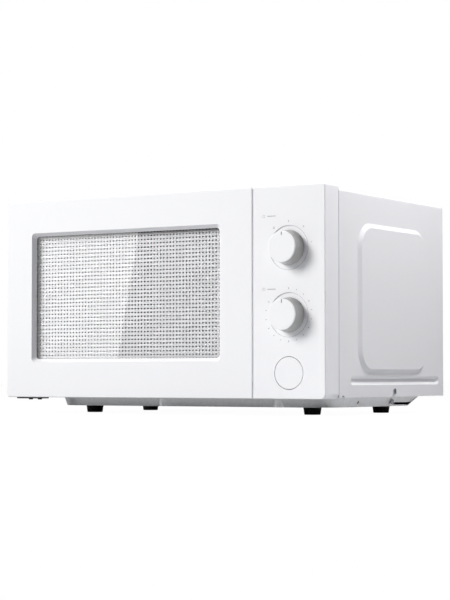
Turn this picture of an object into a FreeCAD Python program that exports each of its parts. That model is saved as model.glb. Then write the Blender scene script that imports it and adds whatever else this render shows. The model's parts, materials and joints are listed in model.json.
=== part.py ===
import FreeCAD, Part

import math
import os
import re

import Sketcher

# A countertop microwave oven. Millimetres, +Z up, the door faces -Y.
# The origin is the middle of the oven's footprint, on the surface that its feet stand on.

doc = FreeCAD.newDocument("microwave_oven")

# ---------------------------------------------------------------- driving sizes

SIZES = {
    # cabinet
    "body_width": 450, "body_depth": 305.6, "front_height": 241.9, "foot_drop": 19.4,
    "knob_proud": 16.5, "door_depth": 31.5, "door_gap": 1.2, "panel_width": 94, "seam_gap": 1.1,
    "case_lift": 1.4, "case_drop": 3.5, "case_sheet": 0.8, "case_bend": 3, "sheet": 1, "fit": 0.3,
    "rear_inset": 3, "rear_lip": 11, "screw_head": 3.6, "screw_head_tall": 1.6, "screw_hole": 2,
    "screw_shank": 1.8,
    # raised field and pressed channel on each side of the case
    "field_front": 77, "field_rear": 49, "field_low": 27, "field_high": 35, "field_rise": 3.4,
    "field_slope": 5.5, "field_corner": 30,
    "channel_front": 60, "channel_rear": 13, "channel_low": 14.1, "channel_tall": 10, "channel_deep": 3,
    "channel_slope": 3, "channel_corner": 4.9,
    # bottom pan
    "pan_deep": 10.2, "pan_left": 36, "pan_right": 12, "pan_front": 3, "pan_rear": 4, "pan_slope": 4,
    "pan_slope_rear": 26, "pan_corner": 50, "rib_radius": 9, "rib_rise": 2.4,
    # cavity
    "cavity_side": 22, "cavity_lift": 18, "cavity_width": 306, "cavity_height": 205,
    "cavity_depth": 255, "cavity_corner": 3,
    # door and its window
    "window_left": 38, "window_width": 274, "window_low": 42.9, "window_height": 158.6,
    "window_corner": 5, "bevel_wide": 4, "bevel_deep": 5, "door_wall": 3, "glass_thick": 2.8,
    "screen_gap": 2.2, "hinge_inset": 8, "pin_radius": 2.5, "running_gap": 0.05, "edge_round": 1.2,
    "corner_low": 6.5, "corner_high": 2.5, "collar_wall": 3, "screen_flange": 13, "cover_thick": 1.8,
    # latch
    "hook_low": 60, "hook_high": 178, "hook_reach": 16, "hook_tall": 8, "hook_wide": 3, "hook_slot": 4,
    "hook_inset": 14, "hook_lift": 3.5, "lever_thick": 4.8,
    # controls
    "power_height": 171, "timer_height": 95, "button_height": 29.3, "knob_base": 20,
    "knob_face": 17.6, "knob_gap": 0.6, "dish_radius": 25, "dish_deep": 0.8, "knob_wall": 2,
    "pointer_long": 4.3, "pointer_wide": 1.2, "pointer_out": 15, "pointer_deep": 0.4,
    "button_radius": 18.2, "button_gap": 0.7, "guide_long": 16, "shaft_radius": 3, "shaft_hole": 4,
    # turntable
    "tray_radius": 122.5, "tray_thick": 4, "ring_radius": 85, "ring_wide": 7, "wheel_radius": 8,
    "wheel_thick": 6, "axle_radius": 2, "coupler_radius": 14, "motor_radius": 24.5, "motor_tall": 15,
    # feet
    "foot_top": 10.8, "foot_bottom": 9.5, "foot_tall": 9.2, "foot_front_in": 68, "foot_rear_in": 53,
    "foot_front_y": 92, "foot_rear_y": 238.5,
    # working parts
    "fan_radius": 34, "fan_hub": 9, "fan_thick": 14, "magnetron_wide": 58, "magnetron_deep": 92,
    "magnetron_tall": 80, "filter_deep": 18, "fin_pitch": 7.4, "fin_thick": 0.8,
    "core_wide": 84, "core_deep": 62, "core_tall": 70, "guide_deep": 38,
}

sheet = doc.addObject("Spreadsheet::Sheet", "sizes")
for row, (alias, value) in enumerate(SIZES.items(), start=1):
    sheet.set(f"A{row}", alias)
    sheet.set(f"B{row}", str(value))
    sheet.setAlias(f"B{row}", alias)
doc.recompute()


def bound(formula):
    """The formula with each size's name turned into its cell."""
    def cell(match):
        word = match.group()
        return f"sizes.{word}" if word in SIZES else word
    return re.sub(r"[a-z_]+", cell, formula)


def number(formula):
    """What a formula gives with the sheet's present values."""
    return float(sheet.evalExpression(bound(formula)))


# ---------------------------------------------------------------- lines that pieces share

LEFT = "(-body_width / 2)"
RIGHT = "(body_width / 2)"
FRONT = "(-(body_depth - knob_proud) / 2)"
REAR = "((body_depth + knob_proud) / 2)"
BOTTOM = "foot_drop"
TOP = "(foot_drop + front_height)"
DOOR_BACK = f"({FRONT} + door_depth)"
DOOR_RIGHT = f"({RIGHT} - panel_width - seam_gap)"
PANEL_LEFT = f"({RIGHT} - panel_width)"
KNOB_X = f"({RIGHT} - panel_width / 2)"
PLATE_FRONT = f"({DOOR_BACK} + door_gap)"
PLATE_BACK = f"({PLATE_FRONT} + sheet)"
CASE_BOTTOM = f"({BOTTOM} + case_lift)"
CASE_TOP = f"({TOP} - case_drop)"
INNER_LEFT = f"({LEFT} + case_sheet + fit)"
INNER_RIGHT = f"({RIGHT} - case_sheet - fit)"
INNER_TOP = f"({CASE_TOP} - case_sheet - fit)"
CAVITY_LEFT = f"({LEFT} + cavity_side)"
CAVITY_RIGHT = f"({CAVITY_LEFT} + cavity_width)"
CAVITY_LOW = f"({BOTTOM} + cavity_lift)"
CAVITY_HIGH = f"({CAVITY_LOW} + cavity_height)"
CAVITY_REAR = f"({PLATE_BACK} + cavity_depth)"
CAVITY_X = f"(({CAVITY_LEFT} + {CAVITY_RIGHT}) / 2)"
CAVITY_Y = f"(({PLATE_BACK} + {CAVITY_REAR}) / 2)"
BAY_LEFT = f"({CAVITY_RIGHT} + sheet + fit)"
BASE_TOP = f"({CASE_BOTTOM} + sheet)"
PAN_LOW = f"({BOTTOM} - pan_deep)"
PAN_FLOOR = f"({PAN_LOW} + sheet)"
WINDOW_LEFT = f"({LEFT} + window_left)"
WINDOW_RIGHT = f"({WINDOW_LEFT} + window_width)"
WINDOW_LOW = f"({BOTTOM} + window_low)"
WINDOW_HIGH = f"({WINDOW_LOW} + window_height)"
GLASS_FRONT = f"({FRONT} + bevel_deep + fit)"
GLASS_BACK = f"({GLASS_FRONT} + glass_thick)"
SCREEN_FRONT = f"({GLASS_BACK} + screen_gap)"
HINGE_X = f"({LEFT} + hinge_inset)"
HINGE_Y = f"({DOOR_BACK} - hinge_inset)"
HOOK_X = f"({DOOR_RIGHT} - hook_inset)"
REAR_FRONT = f"({REAR} - rear_inset)"
GUIDE_FLOOR = f"({FRONT} + door_wall + guide_long - 0.2)"
SPRING_FOOT = f"({BOTTOM} + hook_high + 16 + fit)"
SPRING_TOP = f"({SPRING_FOOT} + 14 + fit)"
SPRING_Y = f"({SCREEN_FRONT} - 3.6)"


# ---------------------------------------------------------------- ways to make a piece

def place(piece, x, y, z):
    """Ties a piece's position to three formulas."""
    for way, formula in (("x", x), ("y", y), ("z", z)):
        piece.setExpression(f"Placement.Base.{way}", bound(f"1 * ({formula})"))
    return piece


def box(name, x, y, z):
    """A block between three pairs of faces, each pair low then high."""
    piece = doc.addObject("Part::Box", name)
    for side, (low, high) in (("Length", x), ("Width", y), ("Height", z)):
        piece.setExpression(side, bound(f"({high}) - ({low})"))
    return place(piece, x[0], y[0], z[0])


TURNS = {
    "x": FreeCAD.Rotation(FreeCAD.Vector(0, 1, 0), 90),
    "y": FreeCAD.Rotation(FreeCAD.Vector(1, 0, 0), -90),
    "z": FreeCAD.Rotation(),
}


def rod(name, way, radius, length, x, y, z):
    """A cylinder that starts at a point and runs along +X, +Y or +Z."""
    piece = doc.addObject("Part::Cylinder", name)
    piece.Placement = FreeCAD.Placement(FreeCAD.Vector(), TURNS[way])
    piece.setExpression("Radius", bound(f"1 * ({radius})"))
    piece.setExpression("Height", bound(f"1 * ({length})"))
    return place(piece, x, y, z)


def join(name, pieces):
    """Pieces that touch or overlap, made one solid."""
    whole = doc.addObject("Part::MultiFuse", name)
    whole.Shapes = pieces
    whole.Refine = True
    return whole


def group(name, pieces):
    """Separate solids of one kind, kept in one node."""
    whole = doc.addObject("Part::Compound", name)
    whole.Links = pieces
    return whole


def cut(name, base, tools):
    """A piece less one tool or several."""
    whole = doc.addObject("Part::Cut", name)
    whole.Base = base
    whole.Tool = tools[0] if len(tools) == 1 else group(f"{name}_tools", tools)
    return whole


def body(name):
    return doc.addObject("PartDesign::Body", name)


def sketch(owner, name, role, offset="0"):
    """A sketch on one of the body's own origin planes, moved along the plane's normal."""
    drawing = owner.newObject("Sketcher::SketchObject", name)
    plane = next(item for item in owner.Origin.OriginFeatures if item.Role == role)
    drawing.AttachmentSupport = [(plane, "")]
    drawing.MapMode = "FlatFace"
    drawing.setExpression("AttachmentOffset.Base.z", bound(f"1 * ({offset})"))
    return drawing


def tie(drawing, constraint, formula):
    """Adds a driven constraint to a sketch."""
    index = drawing.addConstraint(constraint)
    drawing.setExpression(f"Constraints[{index}]", bound(f"1 * ({formula})"))


def polygon(drawing, points):
    """A closed outline of straight lines whose corners are pairs of formulas."""
    corners = [FreeCAD.Vector(number(u), number(v), 0) for u, v in points]
    first = drawing.GeometryCount
    for index, start in enumerate(corners):
        drawing.addGeometry(Part.LineSegment(start, corners[(index + 1) % len(corners)]), False)
    for index, (u, v) in enumerate(points):
        line = first + index
        after = first + (index + 1) % len(points)
        drawing.addConstraint(Sketcher.Constraint("Coincident", line, 2, after, 1))
        tie(drawing, Sketcher.Constraint("DistanceX", -1, 1, line, 1, number(u)), u)
        tie(drawing, Sketcher.Constraint("DistanceY", -1, 1, line, 1, number(v)), v)


def circle(drawing, radius, u="0", v="0"):
    centre = FreeCAD.Vector(number(u), number(v), 0)
    ring = drawing.addGeometry(Part.Circle(centre, FreeCAD.Vector(0, 0, 1), number(radius)), False)
    tie(drawing, Sketcher.Constraint("Radius", ring, number(radius)), radius)
    tie(drawing, Sketcher.Constraint("DistanceX", -1, 1, ring, 3, number(u)), u)
    tie(drawing, Sketcher.Constraint("DistanceY", -1, 1, ring, 3, number(v)), v)


def rounded(drawing, u, v, radius):
    """A rectangle with round corners between two pairs of lines, each pair low then high."""
    low_u, high_u = number(u[0]), number(u[1])
    low_v, high_v = number(v[0]), number(v[1])
    bend = number(radius)
    ends = (
        ((low_u + bend, low_v), (high_u - bend, low_v)),
        ((high_u, low_v + bend), (high_u, high_v - bend)),
        ((high_u - bend, high_v), (low_u + bend, high_v)),
        ((low_u, high_v - bend), (low_u, low_v + bend)),
    )
    first = drawing.GeometryCount
    for start, end in ends:
        drawing.addGeometry(Part.LineSegment(FreeCAD.Vector(*start), FreeCAD.Vector(*end)), False)
    centres = ((high_u - bend, low_v + bend), (high_u - bend, high_v - bend),
               (low_u + bend, high_v - bend), (low_u + bend, low_v + bend))
    for quarter, centre in enumerate(centres):
        whole = Part.Circle(FreeCAD.Vector(*centre), FreeCAD.Vector(0, 0, 1), bend)
        start = (quarter - 1) * math.pi / 2
        drawing.addGeometry(Part.ArcOfCircle(whole, start, start + math.pi / 2), False)
    for side in range(4):
        line, arc, after = first + side, first + 4 + side, first + (side + 1) % 4
        drawing.addConstraint(Sketcher.Constraint("Tangent", line, 2, arc, 1))
        drawing.addConstraint(Sketcher.Constraint("Tangent", arc, 2, after, 1))
        if side:
            drawing.addConstraint(Sketcher.Constraint("Equal", first + 4, arc))
    for side in (0, 2):
        drawing.addConstraint(Sketcher.Constraint("Horizontal", first + side))
    tie(drawing, Sketcher.Constraint("Radius", first + 4, bend), radius)
    for side, way, formula in ((0, "Y", v[0]), (1, "X", u[1]), (2, "Y", v[1]), (3, "X", u[0])):
        at = number(formula)
        tie(drawing, Sketcher.Constraint(f"Distance{way}", -1, 1, first + side, 1, at), formula)


def pad(owner, name, drawing, length, reverse=False):
    feature = owner.newObject("PartDesign::Pad", name)
    feature.Profile = drawing
    feature.Reversed = reverse
    feature.setExpression("Length", bound(f"1 * ({length})"))
    drawing.Visibility = False
    return feature


def pocket(owner, name, drawing, length, reverse=False):
    """A cut that has to remove something: its volume is compared."""
    doc.recompute()
    before = owner.Shape.Volume
    feature = owner.newObject("PartDesign::Pocket", name)
    feature.Profile = drawing
    feature.Reversed = reverse
    feature.setExpression("Length", bound(f"1 * ({length})"))
    doc.recompute()
    if owner.Shape.Volume > before - 0.01:
        raise ValueError(f"{owner.Name}.{name} cuts nothing")
    return feature


def revolve(owner, name, drawing, axis="V_Axis", groove=False):
    kind = "PartDesign::Groove" if groove else "PartDesign::Revolution"
    feature = owner.newObject(kind, name)
    feature.Profile = drawing
    feature.ReferenceAxis = (drawing, [axis])
    feature.Angle = 360
    return feature


def loft(owner, name, low, high, cuts=False):
    """A straight-sided loft between two outlines, added to the body or cut from it."""
    feature = owner.newObject(f"PartDesign::{'Subtractive' if cuts else 'Additive'}Loft", name)
    feature.Profile = low
    feature.Sections = [high]
    feature.Ruled = True
    return feature


def soften(owner, name, radius, wanted):
    """Rounds the edges of a body that a test on an edge picks."""
    doc.recompute()
    shape = owner.Shape
    chosen = [f"Edge{index}" for index, edge in enumerate(shape.Edges, start=1) if wanted(edge)]
    rounded_feature = owner.Tip
    feature = owner.newObject("PartDesign::Fillet", name)
    feature.Base = (rounded_feature, chosen)
    feature.setExpression("Radius", bound(f"1 * ({radius})"))
    return feature


def along(edge, way):
    """Whether an edge is a straight one along X, Y or Z."""
    if edge.Curve.TypeId != "Part::GeomLine":
        return False
    step = edge.Vertexes[-1].Point - edge.Vertexes[0].Point
    return abs(abs(getattr(step.normalize(), way)) - 1) < 1e-6


def near(value, formula, slack=0.01):
    return abs(value - number(formula)) < slack


def screws(name, way, spots, head="3.6", tall="2", shank="1.8", length="7"):
    """Identical pan-head screws: each spot is the point under its head; the head looks back along way."""
    pieces = []
    for index, (x, y, z) in enumerate(spots):
        step = {"x": "0", "y": "0", "z": "0"}
        step[way.strip("-")] = f"-({tall})" if "-" not in way else "0"
        run = {"x": "0", "y": "0", "z": "0"}
        run[way.strip("-")] = f"-({length})" if "-" in way else "0"
        line = way.strip("-")
        cap = rod(f"{name}_head_{index}", line, head, tall, f"({x}) + {step['x']}",
                  f"({y}) + {step['y']}", f"({z}) + {step['z']}")
        stem = rod(f"{name}_stem_{index}", line, shank, length, f"({x}) + {run['x']}",
                   f"({y}) + {run['y']}", f"({z}) + {run['z']}")
        pieces.append(join(f"{name}_{index}", [cap, stem]))
    return group(name, pieces)


def drilled(name, base, way, radius, spots, reach="6"):
    """A piece with the same round hole at each spot, cut through along X, Y or Z."""
    tools = []
    for index, spot in enumerate(spots):
        start = dict(zip("xyz", spot))
        start[way] = f"({start[way]}) - ({reach})"
        tools.append(rod(f"{name}_hole_{index}", way, radius, f"2 * ({reach})",
                         start["x"], start["y"], start["z"]))
    return cut(name, base, tools)


def shell(name, x, y, z, wall, open_side):
    """A thin-walled block that is open on one side, such as "-y" or "x"."""
    outer = box(f"{name}_outer", x, y, z)
    inner = {}
    for way, (low, high) in (("x", x), ("y", y), ("z", z)):
        low_in = f"({low}) - 1" if open_side == f"-{way}" else f"({low}) + ({wall})"
        high_in = f"({high}) + 1" if open_side == way else f"({high}) - ({wall})"
        inner[way] = (low_in, high_in)
    return cut(name, outer, [box(f"{name}_inner", inner["x"], inner["y"], inner["z"])])


nodes = []


def keep(label, piece):
    """Names a finished sub-part: its label names its file."""
    piece.Label = label
    nodes.append(piece)
    return piece


# ---------------------------------------------------------------- case

CASE_SCREWS = [(f"{side} * (body_width / 2 - 6)", f"{REAR} - 2.2", f"{BOTTOM} + {height}")
               for side in (-1, 1) for height in (20, 215)]
SIDE_SCREWS = [(f"{side} * body_width / 2", f"{FRONT} + 169.5", f"{BOTTOM} + 7.5") for side in (-1, 1)]


def field_outline(drawing, inset):
    """The rounded field on the case's side, drawn inset by a formula."""
    rounded(drawing,
            (f"{FRONT} + field_front + {inset}", f"{REAR} - field_rear - {inset}"),
            (f"{CASE_BOTTOM} + field_low + {inset}", f"{CASE_TOP} - field_high - {inset}"),
            f"field_corner - {inset}")


def channel_outline(drawing, inset):
    """The long channel near the case's lower edge, drawn inset by a formula."""
    rounded(drawing,
            (f"{FRONT} + channel_front + {inset}", f"{REAR} - channel_rear - {inset}"),
            (f"{CASE_BOTTOM} + channel_low + {inset}",
             f"{CASE_BOTTOM} + channel_low + channel_tall - {inset}"),
            f"channel_corner - {inset}")


def side_loft(case, name, outline, at, rise, insets, cuts):
    """A sloped step on the case's right side, from one plane to another."""
    drawings = []
    for end, offset, inset in (("base", at, insets[0]), ("crest", f"{at} + {rise}", insets[1])):
        drawing = sketch(case, f"{name}_{end}", "YZ_Plane", offset)
        outline(drawing, inset)
        drawings.append(drawing)
    return loft(case, name, drawings[0], drawings[1], cuts)


def outer_case():
    case = body("outer_case_body")
    profile = sketch(case, "wrap", "XZ_Plane", f"-({PLATE_FRONT})")
    polygon(profile, [
        (LEFT, CASE_BOTTOM), (f"{LEFT} + case_sheet", CASE_BOTTOM),
        (f"{LEFT} + case_sheet", f"{CASE_TOP} - case_sheet"),
        (f"{RIGHT} - case_sheet", f"{CASE_TOP} - case_sheet"),
        (f"{RIGHT} - case_sheet", CASE_BOTTOM), (RIGHT, CASE_BOTTOM), (RIGHT, CASE_TOP), (LEFT, CASE_TOP)])
    pad(case, "wrapped_sheet", profile, f"{REAR} - {PLATE_FRONT}", True)
    soften(case, "outer_bends", "case_bend",
           lambda edge: along(edge, "y") and near(edge.BoundBox.ZMax, CASE_TOP))
    soften(case, "inner_bends", "case_bend - case_sheet",
           lambda edge: along(edge, "y") and near(edge.BoundBox.ZMax, f"{CASE_TOP} - case_sheet"))
    lip = sketch(case, "rear_lip_outline", "XZ_Plane", f"-({REAR_FRONT})")
    lip_in = "(case_sheet + rear_lip)"
    polygon(lip, [
        (f"{LEFT} + case_sheet / 2", CASE_BOTTOM), (f"{LEFT} + {lip_in}", CASE_BOTTOM),
        (f"{LEFT} + {lip_in}", f"{CASE_TOP} - {lip_in}"), (f"{RIGHT} - {lip_in}", f"{CASE_TOP} - {lip_in}"),
        (f"{RIGHT} - {lip_in}", CASE_BOTTOM), (f"{RIGHT} - case_sheet / 2", CASE_BOTTOM),
        (f"{RIGHT} - case_sheet / 2", f"{CASE_TOP} - case_bend"),
        (f"{RIGHT} - case_bend", f"{CASE_TOP} - case_sheet / 2"),
        (f"{LEFT} + case_bend", f"{CASE_TOP} - case_sheet / 2"),
        (f"{LEFT} + case_sheet / 2", f"{CASE_TOP} - case_bend")])
    pad(case, "rear_lip", lip, "case_sheet", True)
    steps = [
        side_loft(case, "field", field_outline, RIGHT, "field_rise", ("0", "field_slope"), False),
        side_loft(case, "field_hollow", field_outline, f"{RIGHT} - case_sheet", "field_rise",
                  ("case_sheet", "(field_slope + case_sheet / 2)"), True),
        side_loft(case, "channel_back", channel_outline, f"{RIGHT} - case_sheet", "(-channel_deep)",
                  ("(-case_sheet)", "(channel_slope - case_sheet)"), False),
        side_loft(case, "channel", channel_outline, RIGHT, "(-channel_deep)",
                  ("0", "channel_slope"), True),
    ]
    other_side = case.newObject("PartDesign::Mirrored", "other_side")
    other_side.Originals = steps
    mirror = next(item for item in case.Origin.OriginFeatures if item.Role == "YZ_Plane")
    other_side.MirrorPlane = (mirror, [""])
    case.Tip = other_side
    notches = [box(f"case_notch_{name}", (f"{side} - 1", f"{side} + 1"), (f"{FRONT} + 39.5", f"{FRONT} + 45"),
                   (f"{CASE_BOTTOM} - 1", f"{CASE_BOTTOM} + 2"))
               for name, side in (("left", LEFT), ("right", RIGHT))]
    notched = cut("case_notched", case, notches)
    rear_holes = drilled("case_rear_drilled", notched, "y", "screw_hole", CASE_SCREWS)
    keep("outer_case", drilled("case_drilled", rear_holes, "x", "screw_hole", SIDE_SCREWS))


# ---------------------------------------------------------------- rear, front and bottom sheets

# The rear plate's slots: their pitch along and between rows, and their width and height.
VENT_PITCH = 16
VENT_ROW = 12
VENT_SLOT = (11, 4)

INLET_X, INLET_Z = f"({RIGHT} - 60)", f"({BOTTOM} + 30)"


def slots(name, count, pitch, size, start, through):
    """A row of ventilation slots along X: size is wide and tall, through is a pair along Y."""
    pieces = []
    for index in range(count):
        x = f"{start[0]} + {index} * {pitch}"
        pieces.append(box(f"{name}_{index}", (x, f"{x} + {size[0]}"), through,
                          (start[1], f"{start[1]} + {size[1]}")))
    return pieces


def rear_plate():
    blank = body("rear_blank")
    outline = sketch(blank, "rear_outline", "XZ_Plane", f"-({REAR_FRONT})")
    rounded(outline, (INNER_LEFT, INNER_RIGHT), (f"{CASE_BOTTOM} + fit", INNER_TOP), "case_bend")
    pad(blank, "rear_sheet", outline, "sheet")
    through = (f"{REAR_FRONT} - sheet - 1", f"{REAR_FRONT} + 1")
    vents = []
    for name, rows, count, x, low in (("vent", 5, 6, f"({RIGHT} - 112)", 140),
                                      ("outlet", 2, 8, f"({LEFT} + 40)", 190)):
        for level in range(rows):
            vents += slots(f"rear_{name}_{level}", count, VENT_PITCH, VENT_SLOT,
                           (x, f"{BOTTOM} + {low + VENT_ROW * level}"), through)
    vents.append(rod("inlet_hole", "y", "8", "10", INLET_X, f"{REAR_FRONT} - 5", INLET_Z))
    plate = cut("rear_vented", blank, vents)
    keep("rear_plate", drilled("rear_drilled", plate, "y", "1.9", CASE_SCREWS, "8"))
    flange = rod("inlet_flange", "y", "11", "1.8", INLET_X, REAR_FRONT, INLET_Z)
    neck = rod("inlet_neck", "y", "8 - fit / 2", "8", INLET_X, f"{REAR_FRONT} - 8", INLET_Z)
    bore = rod("inlet_bore", "y", "4", "20", INLET_X, f"{REAR_FRONT} - 12", INLET_Z)
    keep("cord_inlet_bush", cut("inlet_bush", join("inlet_solid", [flange, neck]), [bore]))


UPPER_ARM = f"({TOP} - 14)"
LOWER_ARM = f"({BOTTOM} - fit - 1.6)"


def front_plate():
    plate = body("front_plate_body")
    outline = sketch(plate, "plate_outline", "XZ_Plane", f"-({PLATE_FRONT})")
    rounded(outline, (INNER_LEFT, INNER_RIGHT), (f"{CASE_BOTTOM} + fit", INNER_TOP), "case_bend")
    rounded(outline, (CAVITY_LEFT, CAVITY_RIGHT), (CAVITY_LOW, CAVITY_HIGH), "cavity_corner")
    rounded(outline, (f"{PANEL_LEFT} + 12", f"{RIGHT} - 14"), (f"{BOTTOM} + 12", f"{TOP} - 22"), "4")
    for level in ("hook_low", "hook_high"):
        rounded(outline, (f"{HOOK_X} - hook_slot", f"{HOOK_X} + hook_slot"),
                (f"{BOTTOM} + {level} - 3", f"{BOTTOM} + {level} + hook_tall + 7"), "2")
    pad(plate, "plate", outline, "sheet", True)
    keep("front_plate", plate)


FEET = [(f"{side} * (body_width / 2 - foot_{end}_in)", f"{FRONT} + foot_{end}_y")
        for end in ("front", "rear") for side in (-1, 1)]
PAN_SCREWS = [(f"{RIGHT} - pan_right - 1", f"{FRONT} + 189", f"{BOTTOM} - 5")]
RIBS = (f"{LEFT} + 206", f"{RIGHT} - 84")


def base_plate():
    base = body("base_body")
    sides = (f"{LEFT} + pan_left", f"{RIGHT} - pan_right")
    front = f"{PLATE_BACK} + pan_front"
    outline = sketch(base, "flat_outline", "XY_Plane", CASE_BOTTOM)
    rounded(outline, (INNER_LEFT, INNER_RIGHT), (f"{PLATE_BACK} + fit", f"{REAR_FRONT} - sheet - fit"), "3")
    pad(base, "flat", outline, "sheet")

    def pan_outline(drawing, inset, rear_inset, grow):
        rounded(drawing, (f"{sides[0]} + {inset} - {grow}", f"{sides[1]} - {inset} + {grow}"),
                (f"{front} + {inset} - {grow}", f"{REAR_FRONT} - pan_rear - {rear_inset} + {grow}"),
                f"pan_corner - {inset} + {grow}")

    for name, grow, low, high, cuts in (("pan", "0", PAN_LOW, CASE_BOTTOM, False),
                                        ("pan_hollow", "(-sheet)", PAN_FLOOR, BASE_TOP, True)):
        rim = sketch(base, f"{name}_rim", "XY_Plane", high)
        pan_outline(rim, "0", "0", grow)
        floor = sketch(base, f"{name}_floor", "XY_Plane", low)
        pan_outline(floor, "pan_slope", "pan_slope_rear", grow)
        loft(base, name, rim, floor, cuts)
    vents = sketch(base, "bottom_vents", "XY_Plane", PAN_LOW)
    for index in range(9):
        y = f"{FRONT} + {185 + 9 * index}"
        rounded(vents, (f"{RIGHT} - 100", f"{RIGHT} - 60"), (y, f"{y} + 4"), "1.9")
    for x, y in FEET:
        circle(vents, "4", x, y)
    pocket(base, "vent_cuts", vents, "2 * sheet", True)
    slot = box("pan_slot", (f"{RIGHT} - 30", f"{RIGHT} + 5"), (f"{FRONT} + 198", f"{FRONT} + 244"),
               (f"{PAN_LOW} + 1.6", f"{PAN_LOW} + 4.4"))
    hole = rod("pan_hole", "x", "1.9", "30", f"{RIGHT} - 28", f"{FRONT} + 104", f"{BOTTOM} - 5")
    ribs = []
    for index, x in enumerate(RIBS):
        y = f"{front} + rib_radius - rib_rise + pan_slope / 2"
        bulge = rod(f"rib_{index}", "z", "rib_radius", f"{CASE_BOTTOM} - {PAN_LOW}", x, y, PAN_LOW)
        hollow = rod(f"rib_hollow_{index}", "z", "rib_radius - sheet", "pan_deep + 9", x, y, PAN_FLOOR)
        behind = box(f"rib_behind_{index}", (f"{x} - 12", f"{x} + 12"),
                     (f"{front} + pan_slope + 0.4", f"{front} + 30"), (f"{PAN_LOW} - 1", f"{BASE_TOP} + 1"))
        ribs.append(cut(f"rib_wall_{index}", bulge, [hollow, behind]))
    pierced = cut("base_pierced", join("base_ribbed", [base] + ribs), [slot, hole])
    keep("base_plate", drilled("base_drilled", pierced, "x", "2", PAN_SCREWS, "9"))


def feet():
    names = ("foot_front_left", "foot_front_right", "foot_rear_left", "foot_rear_right")
    for name, (x, y) in zip(names, FEET):
        foot = body(f"{name}_body")
        half = sketch(foot, f"{name}_half", "XZ_Plane")
        polygon(half, [
            ("0", "0"), ("foot_bottom", "0"), ("foot_top", "foot_tall"), ("3.8", "foot_tall"),
            ("3.8", "foot_tall + sheet + 0.1"), ("6", "foot_tall + sheet + 0.1"),
            ("4.5", "foot_tall + sheet + 3"), ("0", "foot_tall + sheet + 3")])
        revolve(foot, f"{name}_turned", half)
        soften(foot, f"{name}_rim", "0.8", lambda edge: near(edge.BoundBox.ZMax, "0") and near(
            edge.BoundBox.XMax, "foot_bottom", 0.1))
        keep(name, place(foot, x, y, "0"))


# ---------------------------------------------------------------- door

def window_outline(drawing, inset, corner="window_corner"):
    """The window in the door's face, drawn inset by a formula."""
    rounded(drawing, (f"{WINDOW_LEFT} + {inset}", f"{WINDOW_RIGHT} - {inset}"),
            (f"{WINDOW_LOW} + {inset}", f"{WINDOW_HIGH} - {inset}"), corner)


def door_frame():
    door = body("door_frame_body")
    outline = sketch(door, "door_top_view", "XY_Plane", BOTTOM)
    polygon(outline, [(LEFT, FRONT), (DOOR_RIGHT, FRONT), (DOOR_RIGHT, DOOR_BACK), (LEFT, DOOR_BACK)])
    pad(door, "door_block", outline, "front_height")
    soften(door, "hinge_side_round", "hinge_inset",
           lambda edge: (along(edge, "z") and near(edge.BoundBox.XMin, LEFT)
                         and near(edge.BoundBox.YMax, DOOR_BACK)))
    soften(door, "low_corner", "corner_low / 2",
           lambda edge: (along(edge, "y") and near(edge.BoundBox.ZMin, BOTTOM)
                         and near(edge.BoundBox.XMax, LEFT)))
    soften(door, "face_edges", "edge_round",
           lambda edge: near(edge.BoundBox.YMax, FRONT) and near(edge.BoundBox.YMin, FRONT))
    hollow = sketch(door, "back_hollow_outline", "XZ_Plane", f"-({DOOR_BACK})")
    rounded(hollow, (f"{LEFT} + 18", f"{DOOR_RIGHT} - door_wall"),
            (f"{BOTTOM} + door_wall", f"{TOP} - door_wall"), "1")
    pocket(door, "back_hollow", hollow, "door_depth - door_wall", True)
    collar = sketch(door, "collar_outline", "XZ_Plane", f"-({FRONT} + door_wall / 2)")
    window_outline(collar, "(-collar_wall)", "window_corner + collar_wall")
    pad(door, "collar", collar, "bevel_deep + fit + glass_thick - door_wall / 2", True)
    seat = sketch(door, "glass_seat_outline", "XZ_Plane", f"-({GLASS_BACK})")
    window_outline(seat, "(-1.2)")
    pocket(door, "glass_seat", seat, "glass_thick", True)
    mouth = sketch(door, "bevel_mouth", "XZ_Plane", f"-({FRONT})")
    window_outline(mouth, "0")
    throat = sketch(door, "bevel_throat", "XZ_Plane", f"-({FRONT} + bevel_deep)")
    window_outline(throat, "bevel_wide", "window_corner - 1")
    loft(door, "bevel", mouth, throat, True)
    through = sketch(door, "window_through_outline", "XZ_Plane", f"-({GLASS_BACK})")
    window_outline(through, "bevel_wide", "window_corner - 1")
    pocket(door, "window_through", through, "glass_thick + fit + 1", True)
    stop = box("spring_stop", (f"{HOOK_X} - 6", f"{HOOK_X} + 6"),
               (f"{FRONT} + door_wall - 0.5", f"{SCREEN_FRONT} - fit"), (SPRING_TOP, f"{SPRING_TOP} + 2"))
    bore = "pin_radius + running_gap"
    cuts = [
        rod("door_arm_slot", "z", "hinge_inset + 2.4", "6", HINGE_X, HINGE_Y, f"{UPPER_ARM} - 2"),
        rod("door_upper_bore", "z", bore, "16", HINGE_X, HINGE_Y, f"{UPPER_ARM} - 17"),
        rod("door_lower_bore", "z", bore, "15", HINGE_X, HINGE_Y, f"{BOTTOM} - 1"),
    ]
    keep("door_frame", cut("door_with_bores", join("door_with_stop", [door, stop]), cuts))


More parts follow.
